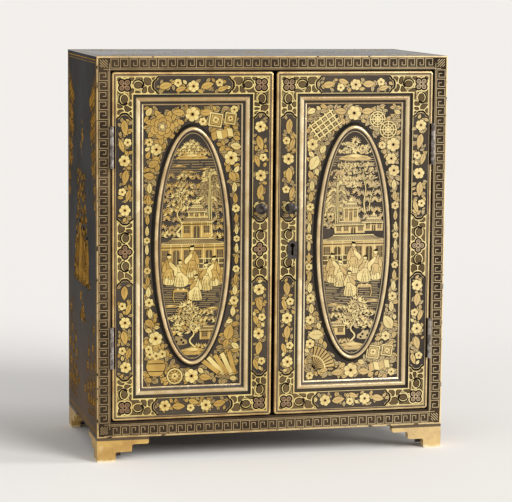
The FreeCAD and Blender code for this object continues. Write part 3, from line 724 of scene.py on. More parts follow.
class Sheet:
    """Flat shapes drawn in millimetres that become one thin raised mesh."""

    SINK = 0.03
    SMALLEST = 0.03
    PARTS = 4
    PATCH = 8.0
    SHARPEST = 0.6

    def __init__(self, seed: int) -> None:
        """Start with nothing drawn, the hand steadied by a seed."""
        self.plates: list[Plate] = []
        self.rng = random.Random(seed)
        self.window: Outline = []
        self.piles: dict[tuple[int, int, int], list[tuple[Box, int]]] = {}
        self.order = 0
        self.most = 0
        self.move()

    def move(self, middle: Point = (0.0, 0.0), turn: float = 0.0, flip: float = 1.0) -> None:
        """Draw from here on about another middle, turned, or mirrored by a flip of minus one."""
        self.middle, self.turn, self.flip = middle, turn, flip

    def placed(self, points: Iterable[Point]) -> Outline:
        """Points of the present drawing as points of the whole sheet."""
        (left, low), flip, c, s = self.middle, self.flip, cos(self.turn), sin(self.turn)
        return [(left + x * flip * c - y * s, low + x * flip * s + y * c) for x, y in points]

    def place(self, corners: Outline, level: int, part: int, over: bool = False) -> float:
        """The order of the next plate, unlike that of any plate it overlaps on its layer.

        Args:
            corners: Its outline on the sheet.
            level: Its layer.
            part: Nought for a motif of its own, else which part it is of the motif before it.
            over: Whether it covers all that it overlaps.

        Returns:
            The order, with the part as its fraction.
        """
        if not part:
            left, right, low, high = extent(corners)
            columns = range(int(left // self.PATCH), int(right // self.PATCH) + 1)
            rows = range(int(low // self.PATCH), int(high // self.PATCH) + 1)
            piles = [self.piles.setdefault((level, *patch), []) for patch in product(columns, rows)]
            used = {
                order
                for pile in piles
                for (west, east, south, north), order in pile
                if west < right and left < east and south < high and low < north
            }
            self.order = max(used, default=-1) + 1 if over else min(set(range(len(used) + 1)) - used)
            self.most = max(self.most, self.order)
            for pile in piles:
                pile.append(((left, right, low, high), self.order))
        return self.order + part / self.PARTS

    def lay(self, corners: Outline, tint: Tint, level: int, order: float) -> None:
        """Keep an outline as a plate, cut to the window where there is one.

        Args:
            corners: The outline on the sheet.
            tint: Its colour.
            level: Its layer.
            order: Its place in the layer.
        """
        for start, end in edges_of(self.window):
            corners = trim(corners, start, end)
        if len(corners) < 3 or abs(area(corners)) < self.SMALLEST:
            return
        if area(corners) < 0:
            corners = corners[::-1]
        self.plates.append(Plate(corners, [tuple(range(len(corners)))], tint, level, order))

    def fill(self, outline: Outline, tint: Tint, level: int = 1, part: int = 0, over: bool = False) -> None:
        """Fill an outline of the present drawing."""
        corners = self.placed(outline)
        self.lay(corners, tint, level, self.place(corners, level, part, over))

    def disc(self, centre: Point, radius: float, tint: Tint, level: int = 1, part: int = 0) -> None:
        """Fill a circle."""
        self.fill(ring(centre, radius, radius, 12), tint, level, part)

    def line(
        self,
        points: Outline,
        width: float,
        tint: Tint,
        level: int = 1,
        closed: bool = False,
        end: Optional[float] = None,
        part: int = 0,
    ) -> None:
        """Draw a line as a ribbon.

        Args:
            points: Its run.
            width: Its width, at the start if it tapers.
            tint: Its colour.
            level: Its layer.
            closed: Whether it returns to its start.
            end: Its width at the end, if it tapers.
            part: Nought for a motif of its own, else which part it is of the motif before it.
        """
        run = self.placed(points)
        count = len(run)
        last = width if end is None else end
        left: Outline = []
        right: Outline = []
        for index, here in enumerate(run):
            before = run[index - 1] if index or closed else here
            after = run[(index + 1) % count] if index < count - 1 or closed else here
            into, out = direction(before, here), direction(here, after)
            into = out if before == here else into
            out = into if after == here else out
            bend = (out - into + pi) % TURN - pi
            half = (width + (last - width) * index / (count - 1)) / 2
            half /= max(self.SHARPEST, cos(bend / 2))
            normal = into + bend / 2 + QUARTER
            left.append(spot(here, normal, half))
            right.append(spot(here, normal, -half))
        spans = [(index, (index + 1) % count) for index in range(count if closed else count - 1)]
        order = self.place(left + right, level, part)
        if self.window:
            for here, there in spans:
                self.lay([right[here], right[there], left[there], left[here]], tint, level, order)
        else:
            faces = [(count + here, count + there, there, here) for here, there in spans]
            self.plates.append(Plate(left + right, faces, tint, level, order))

    def build(self, name: str, ground: Ground, body: str, slot: str = "gilt_moulding") -> None:
        """Turn the plates into one mesh that rides on a body.

        Args:
            name: The piece's name.
            ground: The face that it lies on.
            body: The body that it moves with.
            slot: Not used.
        """
        points: list[Vector] = []
        faces: list[list[int]] = []
        colours: list[int] = []
        tints = sorted({plate.tint for plate in self.plates}, key=lambda tint: tint.value)
        for plate in self.plates:
            base, count = len(points), len(plate.corners)
            rise = plate.level + 1 + plate.order / (self.most + 1)
            for height in (rise * ground.layer, -self.SINK):
                points.extend(ground.at(corner, height) for corner in plate.corners)
            edges = {(face[index - 1], face[index]) for face in plate.faces for index in range(len(face))}
            made = [[base + corner for corner in face] for face in plate.faces]
            made += [[base + count + corner for corner in face[::-1]] for face in plate.faces]
            for first, second in sorted(edges):
                if (second, first) not in edges:
                    low, high = base + first, base + second
                    made.append([low, low + count, high + count, high])
            faces.extend(made)
            colours.extend([tints.index(plate.tint)] * len(made))
        mesh = bpy.data.meshes.new(name)
        mesh.from_pydata(points, [], faces)
        for tint in tints:
            mesh.materials.append(PALETTE[tint])
        mesh.polygons.foreach_set("material_index", colours)
        mesh.update()
        piece = bpy.data.objects.new(name, mesh)
        bpy.context.scene.collection.objects.link(piece)
        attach(piece, body)
        LOG.info("%s: %d plates, %d faces", name, len(self.plates), len(faces))


class Gilder(Sheet):
    """A hand that knows the flowers, nets and frets of the borders."""

    OUTLINE = 0.45
    NET = ((0.0, PALE, 1), (0.5, INK, 2), (1.15, CELL, 3))
    petal = PALE
    heart = WARM

    def flower(self, centre: Point, radius: float, petals: int = 6, level: int = 2) -> None:
        """Lay an open flower with an outlined rim and heart.

        Args:
            centre: Its middle.
            radius: Its reach.
            petals: How many petals it has.
            level: Its layer.
        """
        turn = self.rng.uniform(0, TURN)
        swells = [0.8 + 0.2 * abs(sin(pi * step / 5)) ** 0.6 for step in range(5)] * petals

        def rim(reach: float) -> Outline:
            """The scalloped edge at a reach."""
            steps = enumerate(swells)
            return [spot(centre, turn + TURN * step / len(swells), reach * swell) for step, swell in steps]

        self.fill(rim(radius + self.OUTLINE), INK, level - 1)
        self.fill(rim(radius), self.petal, level)
        for petal in range(petals):
            angle = turn + TURN * petal / petals
            fold = [spot(centre, angle, radius * 0.45), spot(centre, angle, radius * 0.78)]
            self.line(fold, radius * 0.09, self.heart, level + 1)
        self.disc(centre, radius * 0.36, self.heart, level + 1)
        self.disc(centre, radius * 0.2, INK, level + 2)

    def leaf(
        self, root: Point, angle: float, length: float, width: float, tint: Tint = WARM, level: int = 1
    ) -> None:
        """Lay a pointed leaf with an outline and a rib.

        Args:
            root: Where it starts.
            angle: Where it points.
            length: From root to tip.
            width: At its widest.
            tint: Its colour.
            level: Its layer.
        """
        sides = [(1, step) for step in range(6)] + [(-1, step) for step in range(6, 0, -1)]

        def blade(extra: float) -> Outline:
            """The edge, grown all round."""
            edge: Outline = []
            for side, step in sides:
                share = step / 6
                swell = sin(pi * share**0.85) ** 0.8 * (width / 2 + extra) * side
                middle = spot(root, angle, -extra + share * (length + 2 * extra))
                edge.append(spot(middle, angle + QUARTER, swell))
            return edge

        self.fill(blade(self.OUTLINE), INK, level)
        self.fill(blade(0.0), tint, level, part=1)
        rib = [spot(root, angle, length * 0.15), spot(root, angle, length * 0.8)]
        self.line(rib, 0.32, INK, level, end=0.15, part=2)

    def leaf_at(self, middle: Point, angle: float, length: float, width: float, tint: Tint = WARM) -> None:
        """Lay a leaf by its middle."""
        self.leaf(spot(middle, angle, -length / 2), angle, length, width, tint)

    def curl(self, centre: Point, radius: float, start: float, turns: float) -> None:
        """Lay a tendril that winds in."""
        steps = [step / 12 for step in range(13)]
        run = [spot(centre, start + TURN * turns * step, radius * (1 - 0.75 * step)) for step in steps]
        self.line(run, radius * 0.32, WARM, 1, end=radius * 0.16)

    def peony(self, centre: Point, radius: float) -> None:
        """Lay a full flower of overlapping petals.

        Args:
            centre: Its middle.
            radius: Its reach.
        """
        rings = ((7, 0.64, 0.36, WARM, 1), (6, 0.4, 0.3, WARM, 2), (5, 0.2, 0.2, FADED, 3))
        for count, reach, size, tint, level in rings:
            turn = self.rng.uniform(0, TURN)
            for petal in range(count):
                middle = spot(centre, turn + TURN * petal / count, radius * reach)
                self.disc(middle, radius * size + 0.4, INK, level)
                self.disc(middle, radius * size, tint, level, part=1)
        self.disc(centre, radius * 0.16, PALE, 4)

    def quatrefoil(self, centre: Point, radius: float, turn: float) -> None:
        """Lay a four-lobed rosette in a black outline.

        Args:
            centre: Its middle.
            radius: Its reach.
            turn: The angle of its first lobe.
        """
        eye = radius * 0.14
        lobes = [spot(centre, turn + TURN * lobe / 4, radius * 0.5) for lobe in range(4)]
        for extra, tint, level in ((1.1, PALE, 1), (0.0, INK, 2), (-1.5, ROSE, 3)):
            for lobe in lobes:
                self.disc(lobe, radius * 0.5 + extra, tint, level)
            self.disc(centre, radius * 0.4 + extra * 0.5, tint, level)
        for lobe in lobes:
            self.line(ring(lobe, eye, eye, 8), 0.5, INK, 4, closed=True)
        self.disc(centre, eye, INK, 4)

    def pebbles(self, bed: Outline, zone: Outline, size: float, clear: Discs) -> None:
        """Draw the pale web between the rounded cells of a bed.

        Args:
            bed: A convex outline that no cell leaves.
            zone: The outline that holds the middle of every cell.
            size: The distance between cells.
            clear: Circles that cells keep out of.
        """
        left, right, low, high = extent(bed)
        rows = max(2, round((high - low) / size))
        pitch = (high - low) / rows
        shake = size * 0.22
        seeds: Outline = []
        for row in range(rows):
            x = left + size * (0.5 if row % 2 else 0.1)
            while x < right + size:
                y = low + (row + 0.5) * pitch + self.rng.uniform(-shake, shake)
                seeds.append((x + self.rng.uniform(-shake, shake), y))
                x += size
        seeds = [seed for seed in seeds if all(dist(seed, c) > r for c, r in clear)]
        for _ in range(3):
            cells = [self.cell(seed, seeds, bed, clear, 0.0) for seed in seeds]
            seeds = [middle_of(cell) if cell else seed for cell, seed in zip(cells, seeds)]
        for seed in seeds:
            for web, tint, level in self.NET if holds(zone, seed) else ():
                cell = self.cell(seed, seeds, bed, clear, web)
                if len(cell) > 2:
                    self.fill(smooth(cell, 1) if web else cell, tint, level)

    def cell(self, seed: Point, seeds: Outline, bed: Outline, clear: Discs, web: float) -> Outline:
        """The part of a bed that lies nearest to one seed.

        Args:
            seed: The one seed.
            seeds: All of them.
            bed: The whole bed.
            clear: Circles that the part keeps out of.
            web: How far it stays from its neighbours' half way.

        Returns:
            The outline, which may be empty.
        """
        part = bed
        for other in seeds:
            away = dist(seed, other)
            if away > 0:
                part = self.split(part, seed, other, away / 2 - web)
        for centre, radius in clear:
            part = self.split(part, seed, centre, dist(seed, centre) - radius - web)
        return part

    @staticmethod
    def split(cell: Outline, seed: Point, other: Point, reach: float) -> Outline:
        """Cut a cell by a line square to the way to another point, at a reach."""
        angle = direction(seed, other)
        start = spot(seed, angle, reach)
        return trim(cell, start, spot(start, angle + QUARTER, 1.0))

    def hook(self, centre: Point, along: float, side: float) -> None:
        """Lay an oval cell under a black arch that ends in a ball.

        Args:
            centre: The cell's middle.
            along: The angle of the way that the arch runs.
            side: Plus one for an arch to the left of that way, minus one to the right.
        """

        def oval(wide: float, tall: float, drop: float, start: float = 0.0, sweep: float = TURN) -> Outline:
            """A ring or an arc about the middle, lowered by a drop, in the way of the arch."""
            arc = ring((0.0, -drop), wide, tall, 16, start, sweep)
            return [spot(spot(centre, along, x), along + side * pi / 2, y) for x, y in arc]

        self.fill(oval(6.2, 5.4, 0.0), PALE, 1)
        self.fill(oval(4.4, 3.6, 0.8), INK, 2)
        self.fill(oval(3.7, 2.9, 0.8), CELL, 3)
        arch = oval(5.3, 4.4, 0.0, pi, -pi * 1.22)
        self.line(arch, 1.2, INK, 4, end=1.9)
        self.disc(arch[-1], 1.25, INK, 4)

    @staticmethod
    def bracket(edge: float, low: float, high: float, depth: float) -> Outline:
        """The bracketed end of a panel of flowers, with its tip back from the edge.

        Args:
            edge: Where its two ends lie.
            low: The height of one end.
            high: The height of the other end.
            depth: How far back its tip lies.

        Returns:
            The run from low to high.
        """
        middle, half = (low + high) / 2, (high - low) / 2
        shape = ((-1, 0), (-0.84, 0.34), (-0.64, 0.42), (-0.54, 0.72), (-0.3, 0.98), (0, 1.0))
        shape += tuple((-side, back) for side, back in shape[-2::-1])
        return smooth([(edge - back * depth, middle + side * half) for side, back in shape], 1, closed=False)

    def edge_of_net(self, end: Outline, aside: Point) -> None:
        """Lay the black line where a net meets a panel of flowers, and a gold one on each side."""
        self.line([(x - 0.75 * aside[0], y - 0.75 * aside[1]) for x, y in end], 1.0, PALE, 4)
        self.line(end, 1.5, INK, 5)
        self.line([(x + aside[0], y + aside[1]) for x, y in end[2:-2]], 0.6, FADED, 2)

    def anywhere(self, box: Point) -> Point:
        """A random point, within half a width and half a height."""
        return self.rng.uniform(-box[0], box[0]), self.rng.uniform(-box[1], box[1])

    def foliage(self, fits: Fits, box: Point, count: int, length: float) -> None:
        """Lay leaves thickly over an area, one over the other.

        Args:
            fits: Whether a circle lies in the area.
            box: Half the width and height that hold the area.
            count: How many places are tried.
            length: About how long a leaf is.
        """
        for _ in range(count):
            point = self.anywhere(box)
            size = length * self.rng.uniform(0.75, 1.2)
            if fits(point, size * 0.25):
                turn = self.rng.uniform(0, TURN)
                tint = self.rng.choice((FADED, FADED, WARM))
                self.leaf(spot(point, turn, -size / 2), turn, size, size * 0.55, tint, 0)

    def scatter(self, fits: Fits, box: Point, taken: Discs, sizes: Sequence[tuple[float, int]]) -> None:
        """Fill an area with flowers and leaves, the large ones first.

        Args:
            fits: Whether a circle lies in the area.
            box: Half the width and height that hold the area.
            taken: Circles in use, which grows.
            sizes: Each radius and how often it is tried.
        """
        for radius, tries in sizes:
            for _ in range(tries):
                point = self.anywhere(box)
                if not fits(point, radius) or any(dist(point, c) < radius + r for c, r in taken):
                    continue
                if radius > 3.8 and self.rng.random() < 0.5:
                    self.flower(point, radius, 6)
                    taken.append((point, radius))
                    continue
                turn = self.rng.uniform(0, TURN)
                tint = self.rng.choice((WARM, WARM, PALE))
                self.leaf_at(point, turn, radius * 2.3, radius * 1.45, tint)
                for shift, room in ((-0.7, 0.4), (0.0, 0.72), (0.7, 0.4)):
                    taken.append((spot(point, turn, radius * shift), radius * room))

    def garland(self, length: float, half: float, kind: int) -> None:
        """Lay flowers and leaves in a row along the X axis, about nought.

        Args:
            length: The row's length.
            half: Half the height it may take.
            kind: Which of the three kinds of motif comes first.
        """
        count = max(3, round(length / (half * 2.1)))
        step = length / count
        taken: Discs = []
        for index in range(count):
            x = (index + 0.5) * step - length / 2
            lean = self.rng.uniform(-0.12, 0.12) * half
            motif = (index + kind) % 3
            if motif == 0:
                self.flower((x, lean), half * 0.8)
                taken.append(((x, lean), half * 0.8))
            elif motif == 1:
                self.leaf_at((x, lean), self.rng.uniform(-0.3, 0.3), step * 0.95, half * 0.95)
                taken += [((x + shift * step, lean), half * 0.6) for shift in (-0.2, 0.2)]
            else:
                turn = self.rng.choice((1, -1))
                bud = (x - step * 0.12, turn * half * 0.38)
                leaf = (x + step * 0.1, -turn * half * 0.46)
                self.flower(bud, half * 0.56, 5)
                self.leaf_at(leaf, turn * 0.3, step * 0.8, half * 0.7)
                taken += [(bud, half * 0.56), (leaf, half * 0.4)]
        box = (length / 2 + half * 0.8, half)

        def fits(point: Point, radius: float) -> bool:
            """Inside the panel, which narrows to a tip at each end."""
            narrow = max(0.0, abs(point[0]) + radius - length / 2) * 0.9
            return abs(point[1]) + radius < half - narrow + 0.4

        self.foliage(fits, box, round(length * 0.8), 5.4)
        self.scatter(fits, box, taken, ((2.2, 60),))

    def keys(self, length: float, height: float, pitch: float) -> None:
        """Lay a key fret along the X axis, from nought.

        Args:
            length: The run's length.
            height: The height of a key.
            pitch: About how far apart the keys are.
        """
        count = round(length / pitch)
        step = length / count
        key = ((0, 0), (0, 1), (0.78, 1), (0.78, 0.26), (0.38, 0.26), (0.38, 0.62))
        for index in range(count):
            self.line([((index + x) * step, (y - 0.5) * height) for x, y in key], 0.6, LINE)
        self.line([(0.0, -0.5 * height), (length, -0.5 * height)], 0.6, LINE)


NEAR_LEAVES = (FADED, PALE, FADED, WARM, PALE)
FAR_LEAVES = (LINE, FADED, WARM)


class Painter(Gilder):
    """A hand that knows gardens, halls and people taking their ease."""

    STEM = ((0, 0), (0.9, 0.14), (-0.2, 0.3), (0.8, 0.46), (0.1, 0.64), (0.9, 0.84))
    FROND = ((0, 0), (0.4, 0.16), (0.75, 0.02), (0.95, -0.45), (1.0, -1.0))
    MOUND = (
        (-1, 0), (-0.8, 0.45), (-0.35, 0.75), (0.05, 1), (0.5, 0.7), (0.85, 0.4), (1, 0), (0.4, -0.15),
        (-0.5, -0.15),
    )
    LIT_BROW = ((-0.45, 0.55), (0.0, 0.9), (0.4, 0.6), (0.1, 0.35))
    ROOF = (
        (-1.12, 0.3), (-0.95, 0), (0.95, 0), (1.12, 0.3), (0.8, 0.45), (0.62, 1), (-0.62, 1), (-0.8, 0.45),
    )
    ROCK = (
        (-1, 0), (-0.9, 0.5), (-0.5, 0.55), (-0.55, 0.95), (-0.1, 0.8), (0.2, 1), (0.5, 0.6), (0.95, 0.5),
        (1, 0),
    )
    KNEES = {
        False: ((0.2, 0.0), (0.17, 0.2), (0.11, 0.46)),
        True: ((0.3, 0.02), (0.34, 0.3), (0.14, 0.46)),
    }
    BACK = ((0.14, 0.66), (0.06, 0.82), (-0.07, 0.82), (-0.15, 0.66), (-0.12, 0.44), (-0.2, 0.14))
    NEAR_SLEEVE = (
        (0.0, 0.76), (0.12, 0.68), (0.24, 0.56), (0.26, 0.47), (0.2, 0.4), (0.12, 0.5), (0.02, 0.6),
    )
    FAR_SLEEVE = ((-0.1, 0.76), (-0.19, 0.6), (-0.21, 0.42), (-0.13, 0.38), (-0.06, 0.58))
    FOLDS = (
        ((-0.05, 0.8), (0.05, 0.58)), ((-0.11, 0.5), (0.1, 0.54)), ((-0.15, 0.02), (-0.08, 0.4)),
        ((0.15, 0.03), (0.06, 0.42)), ((-0.03, 0.02), (0.0, 0.3)), ((0.07, 0.02), (0.04, 0.26)),
    )

    def rimmed(self, outline: Outline, tint: Tint, level: int, rim: float) -> None:
        """Fill an outline on top of a slightly larger black one."""
        self.fill(grown(outline, rim), INK, level)
        self.fill(outline, tint, level + 1)

    def dash(self, root: Point, angle: float, length: float, width: float, tint: Tint, part: int = 0) -> None:
        """Lay one small pointed stroke.

        Args:
            root: Where it starts.
            angle: Where it points.
            length: From root to tip.
            width: At its widest.
            tint: Its colour.
            part: Which part it is of the motif before it, if any.
        """
        middle = spot(root, angle, length * 0.45)
        left, right = (spot(middle, angle + turn, width / 2) for turn in (QUARTER, -QUARTER))
        self.fill([root, right, spot(root, angle, length), left], tint, 1, part)

    def clump(self, centre: Point, radius: float, tints: Tints = NEAR_LEAVES) -> None:
        """Lay a clump of leaves as a fan of strokes.

        Args:
            centre: Its middle.
            radius: Its reach.
            tints: The colours of its strokes.
        """
        root = (centre[0], centre[1] - radius * 0.4)
        self.fill(ring(root, radius, radius, 10, -0.1 * pi, 1.2 * pi), INK, 1, over=True)
        for step in range(9):
            angle = pi * (step / 8 * 1.16 - 0.08)
            length = radius * self.rng.uniform(0.95, 1.2)
            tint = self.rng.choice(tints)
            self.dash(spot(root, angle, radius * 0.12), angle, length, radius * 0.34, tint, 1 + step % 3)

    def wood(self, rows: int, top: float) -> None:
        """Lay staggered rows of far clumps right across a picture, from the top down."""
        for row, step in product(range(rows), range(8)):
            shift = self.rng.uniform(-1.5, 1.5)
            self.clump((8 * step + 4 * (row % 2) - 29 + shift, top - 8.4 * row - shift), 4.4, FAR_LEAVES)

    def cloud(self, centre: Point, wide: float, high: float, tints: Tints = NEAR_LEAVES) -> None:
        """Lay a flat cloud of needles.

        Args:
            centre: Its middle.
            wide: Half its width.
            high: Half its height.
            tints: The colours of its strokes.
        """
        for _ in range(round(wide * high * 2.1)):
            turn, share = self.rng.uniform(0, TURN), sqrt(self.rng.random())
            place = (centre[0] + wide * share * cos(turn), centre[1] + high * share * sin(turn))
            lean = QUARTER + self.rng.uniform(-1.25, 1.25)
            self.dash(place, lean, self.rng.uniform(2.4, 3.6), 1.2, self.rng.choice(tints))

    def bush(self, centre: Point, wide: float, radius: float, tints: Tints = NEAR_LEAVES) -> None:
        """Lay a rounded row of clumps, the outer ones first.

        Args:
            centre: The middle of its foot.
            wide: Half its width.
            radius: The reach of a clump.
            tints: The colours of its leaves.
        """
        count = max(3, round(wide * 2 / radius))
        for step in sorted(range(count), key=lambda step: -abs(step - count / 2 + 0.5)):
            share = (step + 0.5) / count * 2 - 1
            rise = sqrt(1 - share * share) * wide * 0.45
            self.clump((centre[0] + share * wide, centre[1] + rise), radius, tints)

    def trunk(self, points: Outline, width: float) -> None:
        """Lay a tapering stem with a dark edge."""
        run = smooth(points, 2, closed=False)
        self.line(run, width + 0.9, INK, 2, end=0.9)
        self.line(run, width, self.petal, 3, end=0.35)

    def tree(self, root: Point, height: float, lean: float, spread: float) -> None:
        """Lay a garden tree with clumped leaves.

        Args:
            root: Where it stands.
            height: Its height.
            lean: How far its top stands to one side.
            spread: Half the width of its crown.
        """
        x, y = root
        for row in range(4, -1, -1):
            level = y + height * (0.42 + 0.14 * row)
            reach = spread * (1.0 - 0.17 * row)
            count = 5 - row // 2
            for step in range(count):
                share = (step + 0.5) / count * 2 - 1
                drop = abs(share) * height * 0.07 + self.rng.uniform(-1.5, 1.5)
                self.clump((x + lean * (0.4 + 0.15 * row) + share * reach, level - drop), spread * 0.31)
        self.trunk(stretched(self.STEM, root, lean, height), 1.8)
        for side in (1, -1):
            fork = (x + lean * 0.2, y + height * 0.5)
            tip = (x + side * spread * 0.55 + lean * 0.3, y + height * 0.72)
            self.trunk([fork, (fork[0] + side * spread * 0.2, fork[1] + height * 0.1), tip], 0.8)

    def frond(self, root: Point, side: float, reach: float, fall: float, tint: Tint) -> None:
        """Lay one bowed hanging frond of narrow leaves on a dark ground.

        Args:
            root: Where it leaves the stem.
            side: Minus one for left or one for right.
            reach: How far it stands out.
            fall: How far it hangs down.
            tint: The colour of its leaves.
        """
        run = smooth(stretched(self.FROND, root, side * reach, fall), 1, closed=False)
        upper = [(x + side * 1.3, y + 1.3) for x, y in run]
        lower = [(x - side * 1.3, y - 1.3) for x, y in run]
        self.fill(upper + lower[::-1], INK, 1, over=True)
        self.line(run, 0.6, tint, 1, end=0.35, part=1)
        for index, (before, after) in enumerate(zip(run, run[1:]), 1):
            for turn, share in product((0.55, -0.55), (0.0, 0.5)):
                angle = direction(before, after) + turn
                length = self.rng.uniform(2.6, 3.6)
                self.dash(between(before, after, share), angle, length, 1.0, tint, 2 + index % 2)

    def willow(self, root: Point, height: float, spread: float) -> None:
        """Lay a willow with hanging fronds on slender stems.

        Args:
            root: Where it stands.
            height: Its height.
            spread: Half the width of its crown.
        """
        x, y = root
        for row, step, side in product(range(5, -1, -1), range(2), (1, -1)):
            level = y + height * (0.46 + 0.105 * row)
            reach = spread * (0.95 - 0.11 * row) * (1.0 - 0.45 * step) * self.rng.uniform(0.9, 1.1)
            fall = height * self.rng.uniform(0.24, 0.34)
            tint = self.rng.choice((FADED, FADED, PALE))
            self.frond((x, level + self.rng.uniform(-1.5, 1.5)), side, reach, fall, tint)
        for lean in (-2.4, 0.0, 2.6):
            self.trunk(stretched(((1, 0), (0.5, 0.5), (0.2, 1)), root, lean, height), 0.9)

    def bank(self, centre: Point, wide: float, high: float, tint: Tint = WARM) -> None:
        """Lay a low mound of ground with dark strokes under its brow.

        Args:
            centre: The middle of its foot.
            wide: Half its width.
            high: Its height.
            tint: Its colour.
        """
        self.fill(smooth(stretched(self.MOUND, centre, wide, high)), tint, 1, over=True)
        self.fill(smooth(stretched(self.LIT_BROW, centre, wide, high)), self.petal, 2)
        for share in (-0.5, 0.2, 0.6):
            stroke = ((share - 0.18, 0.22), (share + 0.12, 0.34))
            self.line(stretched(stroke, centre, wide, high), 0.5, INK, 3, end=0.2)

    def ripples(self, low: float, high: float, half: float, gap: float = 2.4) -> None:
        """Lay broken water lines across a band.

        Args:
            low: The band's bottom.
            high: Its top.
            half: Half its width.
            gap: About how far apart the lines are.
        """
        y = low
        while y < high:
            x = -half + self.rng.uniform(0, 6)
            while x < half:
                run = self.rng.uniform(9, 24)
                crest = (x + run / 2, y + self.rng.uniform(-0.3, 0.3))
                self.line([(x, y), crest, (x + run, y)], 0.55, FADED, 0)
                x += run + self.rng.uniform(1.5, 5)
            y += gap * self.rng.uniform(0.85, 1.15)

    def roof(self, centre: Point, wide: float, high: float) -> None:
        """Lay a tiled roof with lifted eaves.

        Args:
            centre: The middle of its eaves.
            wide: Half the width of its eaves.
            high: Its height.
        """
        x, y = centre
        rim = [(x + (wide + 0.6) * a, y + high * b + (0.5 if b > 0.5 else -0.4)) for a, b in self.ROOF]
        self.fill(rim, INK, 2)
        self.fill(stretched(self.ROOF, centre, wide, high), FADED, 3)
        rows = max(3, round(wide * 1.24 / 1.5))
        for row in range(rows + 1):
            share = row / rows * 2 - 1
            tile = [(x + wide * 0.9 * share, y + 0.4), (x + wide * 0.58 * share, y + high * 0.92)]
            self.line(tile, 0.34, INK, 4)
        self.line([(x - wide, y + 0.35), (x + wide, y + 0.35)], 0.8, PALE, 5)
        self.line([(x - wide * 0.64, y + high), (x + wide * 0.64, y + high)], 0.9, PALE, 5)

    def finial(self, root: Point) -> None:
        """Lay the ball and spike on top of a roof."""
        self.line([root, (root[0], root[1] + 6)], 1.2, PALE, 5, end=0.4)
        self.disc((root[0], root[1] + 2), 1.4, PALE, 6)

    def storey(self, centre: Point, wide: float, high: float, bays: int) -> None:
        """Lay a wall of bays with columns, openings and a beam.

        Args:
            centre: The middle of its foot.
            wide: Half its width.
            high: Its height.
            bays: How many openings it has.
        """
        x, y = centre
        self.fill(oblong(x - wide, y, x + wide, y + high), WARM, 2)
        step = 2 * wide / bays
        top = y + high * 0.78
        for bay in range(bays):
            left, right = (x - wide + bay * step + step * share for share in (0.2, 0.8))
            middle = (left + right) / 2
            if bay % 3 == 1:
                arch = ring((middle, top - 2), step * 0.3, 2, 6, 0, pi)
                self.fill([(left, y), (right, y), (right, top - 2), *arch, (left, top - 2)], CELL, 3)
                self.line([(middle, y), (middle, top)], 0.4, PALE, 4)
            else:
                low = y + high * 0.3
                self.fill(oblong(left, low, right, top), CELL, 3)
                for share in (0.3, 0.5, 0.7):
                    bar = left + (right - left) * share
                    self.line([(bar, low), (bar, top)], 0.3, FADED, 4)
                self.line([(left, (low + top) / 2), (right, (low + top) / 2)], 0.3, FADED, 4)
        for column in range(bays + 1):
            post = x - wide + column * step
            self.line([(post, y), (post, y + high)], 0.9, PALE, 4)
        self.line([(x - wide, y + high * 0.88), (x + wide, y + high * 0.88)], 0.8, INK, 4)

    def figure(self, foot: Point, height: float, facing: float, robe: Tint, seated: bool = False) -> None:
        """Lay a robed person with a plain head and dark hair.

        Args:
            foot: The middle of the hem.
            height: From hem to crown.
            facing: Minus one for left or one for right.
            robe: The colour of the robe.
            seated: Whether the knees are bent forward.
        """
        x, y = foot
        across = facing * height
        knees = self.KNEES[seated]
        body = ((-0.19, 0), *knees, *self.BACK)
        other = self.heart if robe is self.petal else self.petal
        for shape, tint, level in ((body, robe, 4), (self.FAR_SLEEVE, robe, 6), (self.NEAR_SLEEVE, other, 6)):
            self.rimmed(smooth(stretched(shape, foot, across, height), 1), tint, level, self.OUTLINE)
        if robe is self.heart:
            skirt = ((-0.17, 0.01), knees[0], knees[1], (0.06, 0.15), (-0.06, 0.25), (-0.18, 0.17))
            hem = smooth([(x + across * a * 0.96, y + b * height) for a, b in skirt], 1)
            self.fill(grown(hem, 0.4), INK, 6)
            self.fill(hem, self.petal, 6)
        for row, share in product(range(3), (-0.1, 0.0, 0.1)):
            place = (x + facing * (share + 0.04 * (row % 2)) * height, y + height * (0.08 + 0.13 * row))
            self.disc(place, 0.6, other, 6)
        for fold in self.FOLDS:
            self.line(stretched(fold, foot, across, height), 0.45, INK, 6, end=0.3)
        head = (x + facing * 0.02 * height, y + height * 0.89)
        self.disc(head, height * 0.07 + 0.4, INK, 6)
        self.disc(head, height * 0.07, self.petal, 7)
        crown = (head[0] - facing * 0.3, head[1] + height * 0.012)
        self.fill(ring(crown, height * 0.076, height * 0.076, 8, 0.3, pi - 0.4), INK, 8)
        self.disc((head[0] - facing * height * 0.04, head[1] + height * 0.08), height * 0.026, INK, 8)

    def terrace(self, low: float, high: float, half: float) -> None:
        """Lay a paved floor with a dark edge.

        Args:
            low: Its front edge.
            high: Its back edge.
            half: Half its width.
        """
        self.fill(oblong(-half, low, half, high), WARM, 1)
        self.line([(-half, low), (half, low)], 0.9, PALE, 2)
        for share in (0.25, 0.5, 0.75):
            y = low + (high - low) * share
            self.line([(-half, y), (half, y)], 0.35, INK, 2)

    def railing(self, left: float, right: float, low: float, high: float) -> None:
        """Lay a railing of dark panels between pale bars.

        Args:
            left: Its left end.
            right: Its right end.
            low: Its bottom.
            high: Its top.
        """
        self.fill(oblong(left, low, right, high), CELL, 3)
        for share in (0.0, 0.5, 1.0):
            y = low + (high - low) * share
            self.line([(left, y), (right, y)], 0.8, PALE, 4)
        for step in range(5):
            x = left + (right - left) * step / 4
            self.line([(x, low), (x, high)], 0.8, PALE, 4)

